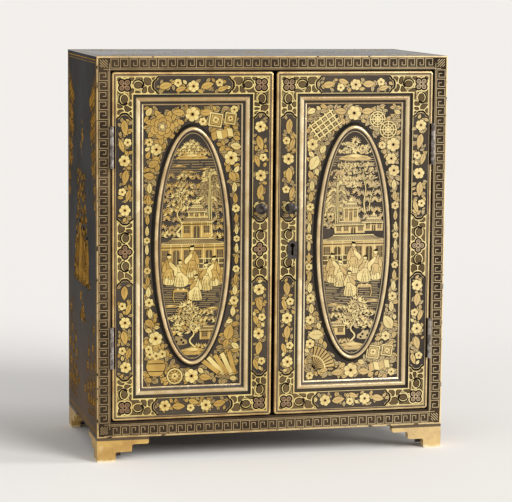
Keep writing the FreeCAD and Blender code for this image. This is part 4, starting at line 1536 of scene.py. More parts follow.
    def rock(self, centre: Point, wide: float, high: float) -> None:
        """Lay a pierced garden rock.

        Args:
            centre: The middle of its foot.
            wide: Half its width.
            high: Its height.
        """
        self.fill(smooth(stretched(self.ROCK, centre, wide, high), 1), FADED, 2)
        for hole in stretched(((-0.4, 0.35), (0.25, 0.5), (0.5, 0.22)), centre, wide, high):
            self.fill(ring(hole, wide * 0.16, high * 0.12, 8), INK, 3)

    def table(self, centre: Point, wide: float, high: float) -> None:
        """Lay a low table with bowed legs and cups on it.

        Args:
            centre: The middle of its foot.
            wide: Half its width.
            high: Its height.
        """
        x, top = centre[0], centre[1] + high
        board = [(x - wide, top), (x + wide, top), (x + wide * 0.8, top + 3), (x - wide * 0.8, top + 3)]
        self.rimmed(board, WARM, 8, 0.5)
        for side in (1, -1):
            leg = stretched(((0.85, 1), (0.95, 0.4), (0.75, 0)), centre, side * wide, high)
            self.line(leg, 1.7, INK, 8)
            self.line(leg, 0.9, WARM, 9)
            self.disc((x + side * wide * 0.35, top + 2.6), 1.1, PALE, 10)

    def spray(
        self, root: Point, angle: float, length: float, bend: float, tint: Tint, leaf: float = 7.5
    ) -> None:
        """Lay a bowed stem with leaves and small flowers.

        Args:
            root: Where it starts.
            angle: Where it sets out.
            length: Its length.
            bend: The angle that it turns through on the way.
            tint: The colour of its leaves.
            leaf: The length of its first leaf.
        """
        run = [root]
        steps = max(5, round(length / 6))
        for step in range(steps):
            run.append(spot(run[-1], angle + bend * step / steps, length / steps))
        self.line(run, 0.7, tint, 1, end=0.3)
        for step, point in enumerate(run[1:], 1):
            heading = angle + bend * step / steps
            side = 1 if step % 2 else -1
            size = leaf * (1 - 0.4 * step / steps)
            self.leaf(point, heading + side * 0.8, size, size * 0.42, tint, 2)
            if step % 3 == 0:
                self.flower(spot(point, heading - side * 1.2, leaf * 0.56), leaf * 0.4, 5, 3)


# The cabinet's own pieces


def dress(finish: str, *nodes: str) -> None:
    """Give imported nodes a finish.

    Args:
        finish: The finish's name.
        *nodes: The names of the nodes.
    """
    for name in nodes:
        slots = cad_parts[name].data.materials
        slots.clear()
        slots.append(FINISH[finish])
        LOG.info("%s: %s", name, finish)


@dataclass
class Carcase:
    """The box with its shelves and feet, and the fret round its front."""

    key_height: float = 8.7
    key_pitch: float = 9.4
    fret_line: float = 0.55
    film: float = 0.006
    border: tuple[float, float] = (4.0, 6.8)

    def dress(self) -> None:
        """Finish the boards, the inside and the feet."""
        dress("case_lacquer", "top_board", "bottom_board", "left_side", "right_side")
        dress("back_lacquer", "back_panel")
        dress("inner_lacquer", "top_stop", "bottom_stop", "upper_shelf", "lower_shelf", "foot_blocks")
        for level, side in product(LEVELS, SIDES):
            dress("inner_lacquer", f"{level}_{side}_cleat")
        for (end, face), side in product((("front", "front"), ("rear", "back")), SIDES):
            dress("foot_gilt", f"{end}_{side}_foot_{face}", f"{end}_{side}_foot_side")

    def build_fret(self) -> None:
        """Lay the key fret on the four front edges of the case."""
        sheet = Gilder(11)
        half, opening = CASE.half_width / MM, CASE.opening_half / MM
        side = half - opening
        high = (CASE.top - CASE.bottom) / 2 / MM
        low_rail = (CASE.opening_bottom - CASE.bottom) / MM
        across = (half + opening) / 2
        upright = 2 * high - side - low_rail
        runs = (
            ((-opening, high - side / 2), 0.0, 2 * opening),
            ((opening, low_rail / 2 - high), pi, 2 * opening),
            ((across, high - side), -QUARTER, upright),
            ((-across, low_rail - high), QUARTER, upright),
        )
        rim = self.key_height / 2 + 1.3
        for start, turn, length in runs:
            sheet.move(start, turn)
            sheet.keys(length, self.key_height, self.key_pitch)
            for edge in (rim, -rim):
                sheet.line([(-side / 2, edge), (length + side / 2, edge)], self.fret_line, LINE)
        for sx, y in product((-1, 1), (high - side / 2, low_rail / 2 - high)):
            sheet.move((sx * across, y), pi / 4 * sx * (1 if y > 0 else -1))
            for step in range(-2, 3):
                reach = 5.4 - abs(step) * 1.9
                sheet.line([(-reach, step * 1.9), (reach, step * 1.9)], 0.7, LINE)
        middle = Vector((0, CASE.front, (CASE.bottom + CASE.top) / 2))
        sheet.build("case_key_fret", Ground(middle, RIGHT, UP), "case")

    def start(self, seed: int, half: float, high: float) -> Painter:
        """Begin the painting of a face with its double border line.

        Args:
            seed: Steadies the hand.
            half: Half the face's width.
            high: Half its height.

        Returns:
            The sheet, with the field inside the border as its window.
        """
        sheet = Painter(seed)
        for inset, width in zip(self.border, (0.9, 0.5)):
            u, v = half - inset, high - inset
            sheet.line(oblong(-u, -v, u, v), width, AMBER, 0, closed=True)
        u, v = half - self.border[1] - 1, high - self.border[1] - 1
        sheet.window = oblong(-u, -v, u, v)
        return sheet

    def build_side(self, name: str, side: float, seed: int) -> None:
        """Paint one side with a border, hanging sprays and a garden group.

        Args:
            name: Left or right.
            side: Minus one or one, by which way it faces.
            seed: Steadies the hand.
        """
        half = (CASE.back - CASE.front) / 2 / MM
        high = (CASE.top - CASE.bottom) / 2 / MM
        sheet = self.start(seed, half, high)
        sheet.petal, sheet.heart = AMBER, OLD
        for flip in (1, -1):
            sheet.move((0, 0), 0, flip)
            for step in range(4):
                root = (half - 11 - step * 7, high - 18 - step * 3)
                tint = OLD if step % 2 else AMBER
                sheet.spray(root, -QUARTER, 156 - 36 * step, 0.12 - 0.12 * step, tint, 12.0)
            for step in range(4):
                root = (half - 12 - 10 * step, 12 - high)
                sheet.spray(root, QUARTER + 0.2 * step, 104 - 22 * step, 0.3, OLD, 11.0)
        sheet.move()
        for row in range(9, -1, -1):
            count = max(3, 8 - row // 2)
            for step in range(count):
                shift = sheet.rng.uniform(-4, 4)
                place = (12 * (step - (count - 1) / 2) - 3 + shift, 11 * row - 34 - shift)
                sheet.clump(place, 6.4, (OLD, OLD, AMBER, CELL))
        sheet.trunk([(-12, -30), (-6, 0), (-14, 28), (-4, 72)], 2.4)
        sheet.bank((0, -46), 46, 6, OLD)
        for x, height, facing in ((-33, 46, 1), (-11, 62, -1), (11, 56, 1), (33, 48, -1)):
            sheet.figure((x, -42), height, facing, AMBER if facing < 0 else OLD)
        for x, y, wide in ((-36, -46, 12), (36, -46, 12), (4, -84, 16)):
            sheet.bush((x, y), wide, 6.5, (OLD, AMBER, CELL))
        sheet.spray((4, -92), QUARTER, 34, 0.5, AMBER, 11.0)
        sheet.spray((-2, 84), QUARTER, 32, -0.4, AMBER, 11.0)
        middle = (side * CASE.half_width, (CASE.front + CASE.back) / 2, (CASE.bottom + CASE.top) / 2)
        ground = Ground(Vector(middle), Vector((0, side, 0)), UP, self.film)
        sheet.build(f"{name}_side_painting", ground, "case")

    def build_top(self) -> None:
        """Paint the top with a border and sprays from its corners and middle."""
        half = CASE.half_width / MM
        deep = (CASE.back - CASE.front) / 2 / MM
        sheet = self.start(31, half, deep)
        for turn, flip in product((0, pi), (1, -1)):
            sheet.move((0, 0), turn, flip)
            sheet.spray((14 - half, 14 - deep), 0.3, 78, 0.5, WARM)
            sheet.spray((14 - half, 14 - deep), 1.2, 62, -0.6, WARM)
        sheet.move()
        sheet.peony((0, 0), 15)
        for side, lean in product((0, pi), (-0.3, 0.3)):
            sheet.spray(spot((0, 0), side, 15), side + lean, 74, -lean * 2, WARM)
        middle = Vector((0, (CASE.front + CASE.back) / 2, CASE.top))
        sheet.build("top_painting", Ground(middle, RIGHT, Vector((0, 1, 0)), self.film), "case")

    def build(self) -> None:
        """Dress the box and lay all its gilding."""
        self.dress()
        self.build_fret()
        self.build_side("left", -1.0, 21)
        self.build_side("right", 1.0, 22)
        self.build_top()


@dataclass
class Door:
    """One framed door with its borders, its panel and its picture."""

    name: str
    side: float
    seed: int
    edge: float = 4.6
    lip: float = 0.9
    inset: float = 0.45
    corner: float = 46.0
    tip: float = 6.0
    net: float = 7.4
    rosette: float = 7.8
    rosette_room: float = 6.8
    hook_reach: float = 13.8
    hook_room: float = 5.7
    aside: float = 1.6
    band_middle: float = -3.9
    band_half: float = 33.0
    moulding: float = 10.5
    picture: tuple[float, float] = (31.6, 111.2)
    treasure: tuple[float, float, float] = (19.0, 21.0, 15.5)
    halves: Point = field(init=False)
    stile: float = field(init=False)
    rail: float = field(init=False)
    middle: Vector = field(init=False)

    def __post_init__(self) -> None:
        """Take the door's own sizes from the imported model, in millimetres."""
        self.halves = ((DOOR.outer - DOOR.meeting) / 2 / MM, (DOOR.top - DOOR.bottom) / 2 / MM)
        self.stile = DOOR.stile / MM
        self.rail = DOOR.rail / MM
        x = self.side * (DOOR.outer + DOOR.meeting) / 2
        self.middle = Vector((x, 0, (DOOR.bottom + DOOR.top) / 2))

    @property
    def has_lock(self) -> bool:
        """Whether the keyhole is in this door."""
        return self.side > 0

    def finish(self, sheet: Sheet, piece: str, y: float) -> None:
        """Build a drawing on the face of the door at a depth."""
        ground = Ground(self.middle + Vector((0, y, 0)), RIGHT, UP)
        sheet.build(f"{self.name}_{piece}", ground, f"{self.name}_door")

    def dress(self) -> None:
        """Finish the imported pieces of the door."""
        for piece in ("hinge_stile", "meeting_stile", "top_rail", "bottom_rail"):
            dress("door_lacquer", f"{self.name}_{piece}")
        dress("panel_lacquer", f"{self.name}_panel")
        dress("medallion_lacquer", f"{self.name}_medallion")
        dress("moulding_gilt", f"{self.name}_moulding")
        dress("bead_gilt", f"{self.name}_medallion_bead")
        dress("pewter", f"{self.name}_knob")

    def corner_net(self, sheet: Gilder) -> None:
        """Lay the pebble net of one corner, measured inwards from it."""
        low, high, wide = self.edge, self.rail - self.lip, self.stile - self.lip
        along = Gilder.bracket(self.corner, low, high, self.tip)
        down = [(y, x) for x, y in Gilder.bracket(self.corner, low, wide, self.tip)]
        zone = [(low, low), *along, (wide, high), *down[::-1]]
        sheet.fill(zone, CELL, 0)
        sheet.line([along[0], (low, low), down[0]], 0.9, PALE, 1)
        sheet.line([along[-1], (wide, high), down[-1]], 0.9, PALE, 1)
        rosette = (12.4, 12.8)
        hooks = ((25.8, 11.9), (11.4, 26.4))
        tips = ((self.corner, (low + high) / 2), ((low + wide) / 2, self.corner))
        clear = [(rosette, self.rosette_room)]
        clear += [(hook, self.hook_room) for hook in hooks] + [(tip, self.tip) for tip in tips]
        start = low + self.inset
        sheet.pebbles(oblong(start, start, self.corner, high - self.inset), zone, self.net, clear)
        sheet.pebbles(oblong(start, high, wide - self.inset, self.corner), zone, self.net, clear)
        sheet.quatrefoil(rosette, self.rosette, pi / 4)
        sheet.hook(hooks[0], 0.0, -1.0)
        sheet.hook(hooks[1], QUARTER, 1.0)
        sheet.edge_of_net(along, (self.aside, 0.0))
        sheet.edge_of_net(down, (0.0, self.aside))

    def band_net(self, sheet: Gilder, with_keyhole: bool) -> None:
        """Lay the pebble net half way up a stile, along the X axis.

        Args:
            sheet: The drawing.
            with_keyhole: Whether it leaves the keyhole free.
        """
        reach, half = self.band_half, (self.stile - self.lip - self.edge) / 2
        right = Gilder.bracket(reach, -half, half, self.tip)
        left = [(-x, y) for x, y in right]
        zone = [*right, *left[::-1]]
        clear = [((x, 0.0), self.hook_room) for x in (self.hook_reach, -self.hook_reach)]
        clear += [((x, 0.0), self.tip) for x in (reach, -reach)]
        if with_keyhole:
            (start, end), depth = (-9.6, 7.2), -1.0
            zone += [(start, -half), (start, depth), (end, depth), (end, -half)]
            clear.append(((-1.2, -5.0), 7.4))
        else:
            clear.append(((0.0, 0.0), self.rosette_room))
        sheet.fill(zone, CELL, 0)
        for end in (0, -1):
            sheet.line([right[end], left[end]], 0.9, PALE, 1)
        inset = half - self.inset
        sheet.pebbles(oblong(-reach, -inset, reach, inset), zone, self.net, clear)
        if not with_keyhole:
            sheet.quatrefoil((0.0, 0.0), self.rosette, 0.0)
        for way in (0.0, pi):
            sheet.hook((self.hook_reach * cos(way), 0.0), way, cos(way))
        sheet.edge_of_net(right, (self.aside, 0.0))
        sheet.edge_of_net(left, (-self.aside, 0.0))

    def build_border(self) -> None:
        """Lay the nets and the panels of flowers on the frame of the door."""
        sheet = Gilder(self.seed)
        wide, high = self.halves
        u, v = wide - self.stile + self.inset, high - self.rail + self.inset
        sheet.line(oblong(-u, -v, u, v), 0.5, PALE, 1, closed=True)
        centre = (self.edge + self.stile) / 2
        rail_centre = (self.edge + self.rail) / 2
        flowers = centre - self.edge - 1.1
        top = high - self.corner
        band_top, band_bottom = self.band_middle + self.band_half, self.band_middle - self.band_half
        for sx in (-1, 1):
            for sy in (-1, 1):
                sheet.move((sx * wide, sy * high), pi if sy > 0 else 0.0, sx if sy > 0 else -sx)
                self.corner_net(sheet)
            sheet.move((sx * (wide - centre), self.band_middle), QUARTER)
            self.band_net(sheet, self.has_lock and sx * self.side < 0)
            for start, end in ((top, band_top), (band_bottom, -top)):
                sheet.move((sx * (wide - centre), (start + end) / 2), -QUARTER)
                sheet.garland(start - end, flowers, 0 if sx > 0 else 1)
        for sy in (-1, 1):
            sheet.move((0.0, sy * (high - rail_centre)))
            sheet.garland(2 * (wide - self.corner), flowers, 1 if sy > 0 else 0)
        self.finish(sheet, "border_gilding", CASE.front)

    def build_spandrels(self) -> None:
        """Lay flowers and precious things round the oval on the panel."""
        sheet = Painter(self.seed + 5)
        low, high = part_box(f"{self.name}_medallion")
        oval = ((high.x - low.x) / 2 / MM, (high.z - low.z) / 2 / MM)
        wide = self.halves[0] - (self.stile + self.moulding)
        tall = self.halves[1] - (self.rail + self.moulding)
        taken: Discs = []
        for (sx, sy), thing in zip(((-1, 1), (1, 1), (-1, -1), (1, -1)), TREASURES[self.name]):
            centre = (sx * (wide - self.treasure[0]), sy * (tall - self.treasure[1]))
            thing(sheet, centre, -sx)
            sheet.move()
            taken.append((centre, self.treasure[2]))
        for sy in (-1, 1):
            flower = (0.0, sy * (oval[1] + tall) / 2)
            sheet.flower(flower, 7.2)
            taken.append((flower, 7.2))
            for sx in (-1, 1):
                if sx + sy < -1 and not self.has_lock:
                    continue
                root = (sx * 7.9, flower[1] + sy * 1.2)
                sheet.leaf(root, 0.1 * sy if sx > 0 else pi - 0.1 * sy, 12.5, 6.6)
                taken.append(((sx * 14.2, flower[1] + sy * 1.8), 4.6))
        self.side_chains(sheet, oval, wide, taken)
        if not self.has_lock:
            medal = (-17.0, -tall + 9.6)
            disc_of_waves(sheet, medal)
            taken.append((medal, 8.8))

        def fits(point: Point, radius: float) -> bool:
            """On the panel and clear of the oval."""
            if abs(point[0]) + radius > wide - 0.6 or abs(point[1]) + radius > tall - 0.6:
                return False
            reach = radius + 1.2
            return (point[0] / (oval[0] + reach)) ** 2 + (point[1] / (oval[1] + reach)) ** 2 > 1

        sizes = ((7.0, 500), (5.8, 900), (4.8, 1400), (4.0, 2000), (3.2, 2600), (2.5, 2600))
        sheet.window = oblong(-wide, -tall, wide, tall)
        sheet.foliage(fits, (wide, tall), 2300, 7.2)
        sheet.scatter(fits, (wide, tall), taken, sizes)
        self.finish(sheet, "panel_gilding", DOOR.panel)

    def side_chains(self, sheet: Gilder, oval: Point, wide: float, taken: Discs) -> None:
        """Lay leaves and small flowers up the narrow sides of the panel.

        Args:
            sheet: The drawing.
            oval: Half the oval's width and height.
            wide: Half the panel's width.
            taken: Circles in use, which grows.
        """
        for sx in (-1, 1):
            v = -66.0
            index = 0
            while v < 68:
                gap = wide - oval[0] * sqrt(1 - (v / oval[1]) ** 2)
                u = sx * (wide - gap / 2)
                size = min(gap * 0.42, 4.6)
                if index % 3 == 1:
                    sheet.flower((u, v), size)
                    step = size * 2 + 0.8
                else:
                    sheet.leaf_at((u, v), QUARTER, 10.5, size * 1.1, WARM if index % 2 else PALE)
                    step = 11.2
                taken.append(((u, v), size + 0.5))
                index += 1
                following = 5.6 if index % 3 != 1 else size + 0.4
                v += step / 2 + following
            taken.append(((sx * wide, 0.0), 1.0))

    def build_picture(self) -> None:
        """Lay the garden picture in the oval and the thin line round it."""
        sheet = Painter(self.seed + 9)
        half, high = self.picture
        sheet.line(ring((0, 0), half + 0.9, high + 0.9, 72), 0.6, LINE, 1, closed=True)
        sheet.window = ring((0, 0), half, high, 56)
        sheet.move((0, 0), 0, -self.side)
        if self.has_lock:
            self.pine_garden(sheet)
        else:
            self.island_garden(sheet)
        sheet.storey((0, -22), 33, 24, 6)
        sheet.roof((0, 2), 33, 6)
        sheet.ripples(-66, -34, half, 1.9)
        sheet.terrace(-37, -21, 34)
        sheet.railing(6, 33, -22, -12)
        people = (
            (-24, -38, 32, 1, WARM, False),
            (0, -31, 33, -1, WARM, False),
            (22, -40, 31, -1, WARM, False),
            (-13, -40, 28, 1, PALE, True),
            (14, -44, 29, -1, PALE, False),
            (4, -54, 27, -1, PALE, True),
        )
        for x, y, height, facing, robe, seated in people:
            sheet.figure((x, y), height, facing, robe, seated)
        sheet.table((-12, -55), 8, 10)
        for x, y, wide in ((-22, -60, 8), (20, -63, 9)):
            sheet.bank((x, y), wide, 2.6)
        sheet.storey((17, -93), 9, 9, 2)
        sheet.roof((17, -84), 10, 4)
        sheet.tree((2, -100), 44, -7, 19)
        sheet.rock((-13, -98), 8, 10)
        for x, y, wide in ((-17, -84, 7), (-15, -74, 10), (17, -76, 9), (12, -68, 8), (-5, -66, 8)):
            sheet.bush((x, y), wide, 4.0)
        sheet.bush((8, -103), 9, 3.8)
        sheet.bank((0, -107), 18, 7)
        sheet.ripples(-111, -104, half)
        self.finish(sheet, "oval_picture", DOOR.plateau)

    def island_garden(self, sheet: Painter) -> None:
        """Lay the far garden of the left door: an island, a spreading tree, a willow and a tower."""
        sheet.ripples(74, 87, self.picture[0])
        for count, y in ((1, 104), (3, 101), (4, 98), (6, 95), (7, 92.5)):
            for step in range(count):
                sheet.clump((5.0 * (step - (count - 1) / 2) - 1, y), 3.6)
        sheet.bank((-1, 87), 17, 5)
        for x, y, wide in ((-14, 79, 7), (13, 76, 7), (-2, 73, 5)):
            sheet.bank((x, y), wide, 2.0)
        sheet.wood(7, 70)
        sheet.willow((17, 12), 62, 18)
        sheet.tree((-16, 14), 60, 8, 15)
        sheet.bush((-23, 10), 9, 4.6)
        sheet.bush((25, 8), 8, 4.6)
        sheet.storey((4, 9), 15, 15, 3)
        sheet.roof((4, 24), 17, 5)
        sheet.storey((4, 29), 8, 5, 3)
        sheet.roof((4, 34), 10, 5)
        sheet.roof((4, 40), 5, 3.5)
        sheet.finial((4, 43))

    def pine_garden(self, sheet: Painter) -> None:
        """Lay the far garden of the right door: flat pines, a willow and two pavilions."""
        sheet.ripples(78, 88, self.picture[0])
        for x, y, wide in ((4, 98, 8), (-6, 95, 10), (6, 92, 13), (-8, 91, 10)):
            sheet.cloud((x, y), wide, 2.4)
        sheet.clump((-1, 104), 4.6)
        sheet.bank((-1, 84), 18, 6)
        sheet.wood(6, 60)
        layers = (
            (-10, 78, 9), (8, 77, 10), (-17, 72, 9), (3, 71, 12), (18, 70, 8), (-10, 65, 13),
            (11, 64, 10), (-20, 58, 8), (1, 58, 9), (20, 58, 8),
        )
        for x, y, wide in layers:
            sheet.cloud((x, y), wide, 2.9, FAR_LEAVES if wide < 9 else NEAR_LEAVES)
        sheet.trunk([(-12, 30), (-10, 42), (-13, 54), (-9, 66), (-11, 78)], 1.5)
        sheet.trunk([(-16, 32), (-17, 46), (-22, 58)], 1.1)
        sheet.willow((17, 12), 50, 16)
        sheet.bush((24, 26), 8, 4.6)
        for x, y, wide, high in ((3, 22, 7, 13), (-21, 12, 9, 8)):
            sheet.storey((x, y), wide, high, 3)
            sheet.roof((x, y + high), wide + 3, 4.5)
            sheet.roof((x, y + high + 4.5), wide * 0.6, 3.2)
            sheet.finial((x, y + high + 7))
        sheet.storey((4, 10), 15, 8, 4)
        sheet.roof((4, 18), 17, 4)

    def build(self) -> None:
        """Dress the door and lay all its gilding."""
        self.dress()
        self.build_border()
        self.build_spandrels()
        self.build_picture()


# The treasures on the panels: each takes a sheet, a middle and a flip


def blossoms(sheet: Painter, centre: Point, flip: float) -> None:
    """Lay a peony with leaves behind it."""
    sheet.move(centre, 0.0, flip)
    for turn in range(7):
        sheet.leaf(spot((0, 0), turn * TURN / 7, 9), turn * TURN / 7 + 0.4, 9, 5.4)
    sheet.peony((0, 0), 12.5)


def books(sheet: Painter, centre: Point, flip: float) -> None:
    """Lay two square boxes and a folded book."""
    for dx, dy, size in ((6.8, 6.2, 7.2), (-8, 7.4, 6.2)):
        sheet.move((centre[0] + dx * flip, centre[1] + dy), 0.16 * flip)
        for shrink, tint, level in ((0, INK, 1), (0.5, PALE, 2), (1.8, INK, 3), (2.4, WARM, 4)):
            edge = size - shrink
            sheet.fill(oblong(-edge, -edge, edge, edge), tint, level)
        sheet.flower((0, 0), size * 0.5, 4, 6)
    sheet.move((centre[0], centre[1] - 8), -0.2 * flip)
    for page in range(4):
        x, lift = 5.6 * page - 11.2, 1.6 * (page % 2)
        corners = [(x, lift - 4.8), (x + 5, -3.2 - lift), (x + 5, 5.0 - lift), (x, 3.4 + lift)]
        sheet.fill(stretched(corners, (0, 0), 1.06, 1.08), INK, 1)
        sheet.fill(corners, PALE if page % 2 else WARM, 2)


def pot(sheet: Painter, centre: Point, flip: float) -> None:
    """Lay a wide pot of flowers with a curled handle."""
    sheet.move((centre[0] - 6 * flip, centre[1] + 3), 0.0, flip)
    body = [(-7, 3), (7, 3), (10, -3), (8, -10), (5, -14), (-5, -14), (-8, -10), (-10, -3)]
    outline = smooth(body, 1)
    sheet.fill(stretched(outline, (0, 0), 1.06, 1.04), INK, 1)
    sheet.fill(outline, WARM, 2)
    for y, half in ((-1.2, 8.4), (-9, 8.2)):
        sheet.line([(-half, y), (half, y)], 0.8, INK, 3)
    for x in (-6, 0.5, 6.6):
        sheet.flower((x, 6.4 + 0.3 * abs(x)), 4.2, 5)
    sheet.curl((-1, 14.5), 5.4, 0.0, 1.5)


def scrolls(sheet: Painter, centre: Point, flip: float) -> None:
    """Lay a sheaf of rolled papers."""
    for step in range(5):
        place = (centre[0] + (step * 5.4 - 11) * flip, centre[1] - step * 0.8)
        sheet.move(place, (1.3 - 0.16 * step) * flip)
        sheet.fill(oblong(-12.5, -2.7, 12.5, 2.7), INK, 1)
        sheet.fill(oblong(-12, -2.2, 12, 2.2), PALE if step % 2 else WARM, 2)
        sheet.line([(10.5, -2.2), (10.5, 2.2)], 0.5, INK, 3)


def lattice(sheet: Painter, centre: Point, flip: float) -> None:
    """Lay a panel of crossed bars set on its corner."""
    sheet.move(centre, 0.62 * flip)
    bars = [[(-15.5, v), (15.5, v)] for v in (-7.8, -2.6, 2.6, 7.8)]
    bars += [[(u, -10.0), (u, 10.0)] for u in (-12.4, -6.2, 0.0, 6.2, 12.4)]
    for bar in bars:
        sheet.line(bar, 2.6, INK, 1)
        sheet.line(bar, 1.5, PALE, 2)


def coins(sheet: Painter, centre: Point, flip: float) -> None:
    """Lay two round nets that overlap."""
    sheet.move(centre, 0.0, flip)
    for middle, radius, level in (((5.6, 5.4), 8.4, 1), ((-5.4, -5.0), 9.2, 4)):
        for extra, tint, rise in ((0.5, INK, 0), (0, PALE, 1), (-1.2, CELL, 2)):
            sheet.disc(middle, radius + extra, tint, level + rise)
        for step in range(4):
            angle = step * TURN / 8
            ends = [spot(middle, angle, radius - 1), spot(middle, angle + pi, radius - 1)]
            sheet.line(ends, 1.0, PALE, level + 3)
        for share in (0.34, 0.62):
            hoop = ring(middle, radius * share, radius * share, 14)
            sheet.line(hoop, 0.9, PALE, level + 3, closed=True)


def disc_of_waves(sheet: Painter, centre: Point) -> None:
    """Lay a round medal of rings."""
    for radius, tint, level in ((8.8, INK, 1), (8.2, PALE, 2), (6.6, INK, 3), (6.0, WARM, 4)):
        sheet.disc(centre, radius, tint, level)
    sheet.flower(centre, 3.6, 5, 6)
    for step in range(10):
        sheet.disc(spot(centre, step * TURN / 10, 5.0), 0.6, INK, 5)


def fan(sheet: Painter, centre: Point, flip: float) -> None:
    """Lay an open fan with its ribs."""
    sheet.move(centre, 0.0, flip)
    hub, start, sweep = (-11.0, -9.5), 0.05, 1.45
    sheet.fill([hub, *ring(hub, 24.6, 24.6, 10, start, sweep)], INK, 1)
    sheet.fill([hub, *ring(hub, 24, 24, 10, start + 0.03, sweep - 0.06)], WARM, 2)
    for step in range(9):
        angle = start + 0.03 + (sweep - 0.06) * step / 8
        sheet.line([spot(hub, angle, 2), spot(hub, angle, 23.4)], 0.5, INK, 3, end=1.0)
    sheet.line(ring(hub, 14, 14, 8, start, sweep), 1.4, PALE, 4)


TREASURES = {
    "left": (blossoms, books, pot, scrolls),
    "right": (lattice, coins, fan, books),
}


@dataclass
class Hardware:
    """Hinges, lock, bolts and plates, with the screws that hold them."""

    screw: float = 1.7
    film: float = 0.02
    spacing: float = 14.0
    stagger: float = 1.6
    behind_barrel: float = -0.0845

    def dress(self) -> None:
        """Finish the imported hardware."""
        for door, level, leaf in product(SIDES, LEVELS, ("frame", "door")):
            dress("hinge_metal", f"{door}_{level}_hinge_{leaf}_leaf")
        dress("hinge_metal", "hinge_pins")
        dress("pewter", "escutcheon")
        dress("lock_brass", "lock_case", "lock_bolt", "strike_plate")
        for level in LEVELS:
            dress("lock_brass", f"{level}_bolt", f"{level}_bolt_plate")

    def screws(self, name: str, body: str, face: Ground, places: Iterable[Point]) -> None:
        """Set flat slotted screw heads on a face.

        Args:
            name: The piece's name.
            body: The body that it moves with.
            face: The face that they sit in.
            places: The middle of each head.
        """
        sheet = Sheet(5)
        for place in places:
            turn = sheet.rng.uniform(0, pi)
            slot = [spot(place, turn, -self.screw * 0.9), spot(place, turn, self.screw * 0.9)]
            sheet.disc(place, self.screw, STEEL, 0)
            sheet.line(slot, 0.5, INK, 1)
        sheet.build(name, face, body, "white_metal")

    def build_hinge_screws(self, door: str, level: str) -> None:
        """Set three screws in each leaf of one hinge.

        Args:
            door: Left or right.
            level: Upper or lower.
        """
        side = 1.0 if door == "right" else -1.0
        for leaf, body, facing in (("frame", "case", -side), ("door", f"{door}_door", side)):
            points = [v.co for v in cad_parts[f"{door}_{level}_hinge_{leaf}_leaf"].data.vertices]
            flat = [p for p in points if p.y > self.behind_barrel]
            x = (min if facing < 0 else max)(p.x for p in flat)
            y = (max(p.y for p in flat) + min(p.y for p in flat)) / 2
            z = (max(p.z for p in points) + min(p.z for p in points)) / 2
            face = Ground(Vector((x, y, z)), Vector((0, facing, 0)), UP, self.film)
            rows = [(self.stagger * (index % 2 * 2 - 1), (index - 1) * self.spacing) for index in range(3)]
            self.screws(f"{door}_{level}_hinge_{leaf}_screws", body, face, rows)

    def build_plate_screws(self, node: str, body: str, axis: int, inset: float) -> None:
        """Set a screw near each end of a plate, on its back or its edge.

        Args:
            node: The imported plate.
            body: The body that it moves with.
            axis: The axis that the screws point along, 0 for X or 1 for Y.
            inset: How far they stand in from the ends, in millimetres.
        """
        low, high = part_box(node)
        middle = (low + high) / 2
        middle[axis] = high[axis]
        across = Vector((0, 1, 0)) if axis == 0 else -RIGHT
        reach = (high.z - low.z) / 2 / MM - inset
        face = Ground(middle, across, UP, self.film)
        self.screws(f"{node}_screws", body, face, [(0, reach), (0, -reach)])

    def build(self) -> None:
        """Dress the hardware and set its screws."""
        self.dress()
        for door, level in product(SIDES, LEVELS):
            self.build_hinge_screws(door, level)
        self.build_plate_screws("lock_case", "right_door", 1, 3.0)
        self.build_plate_screws("strike_plate", "left_door", 0, 2.6)
        for level in LEVELS:
            self.build_plate_screws(f"{level}_bolt_plate", "left_door", 1, 3.0)


# Finishes in use

FINISH: dict[str, bpy.types.Material] = {}
PALETTE: dict[Tint, bpy.types.Material] = {}


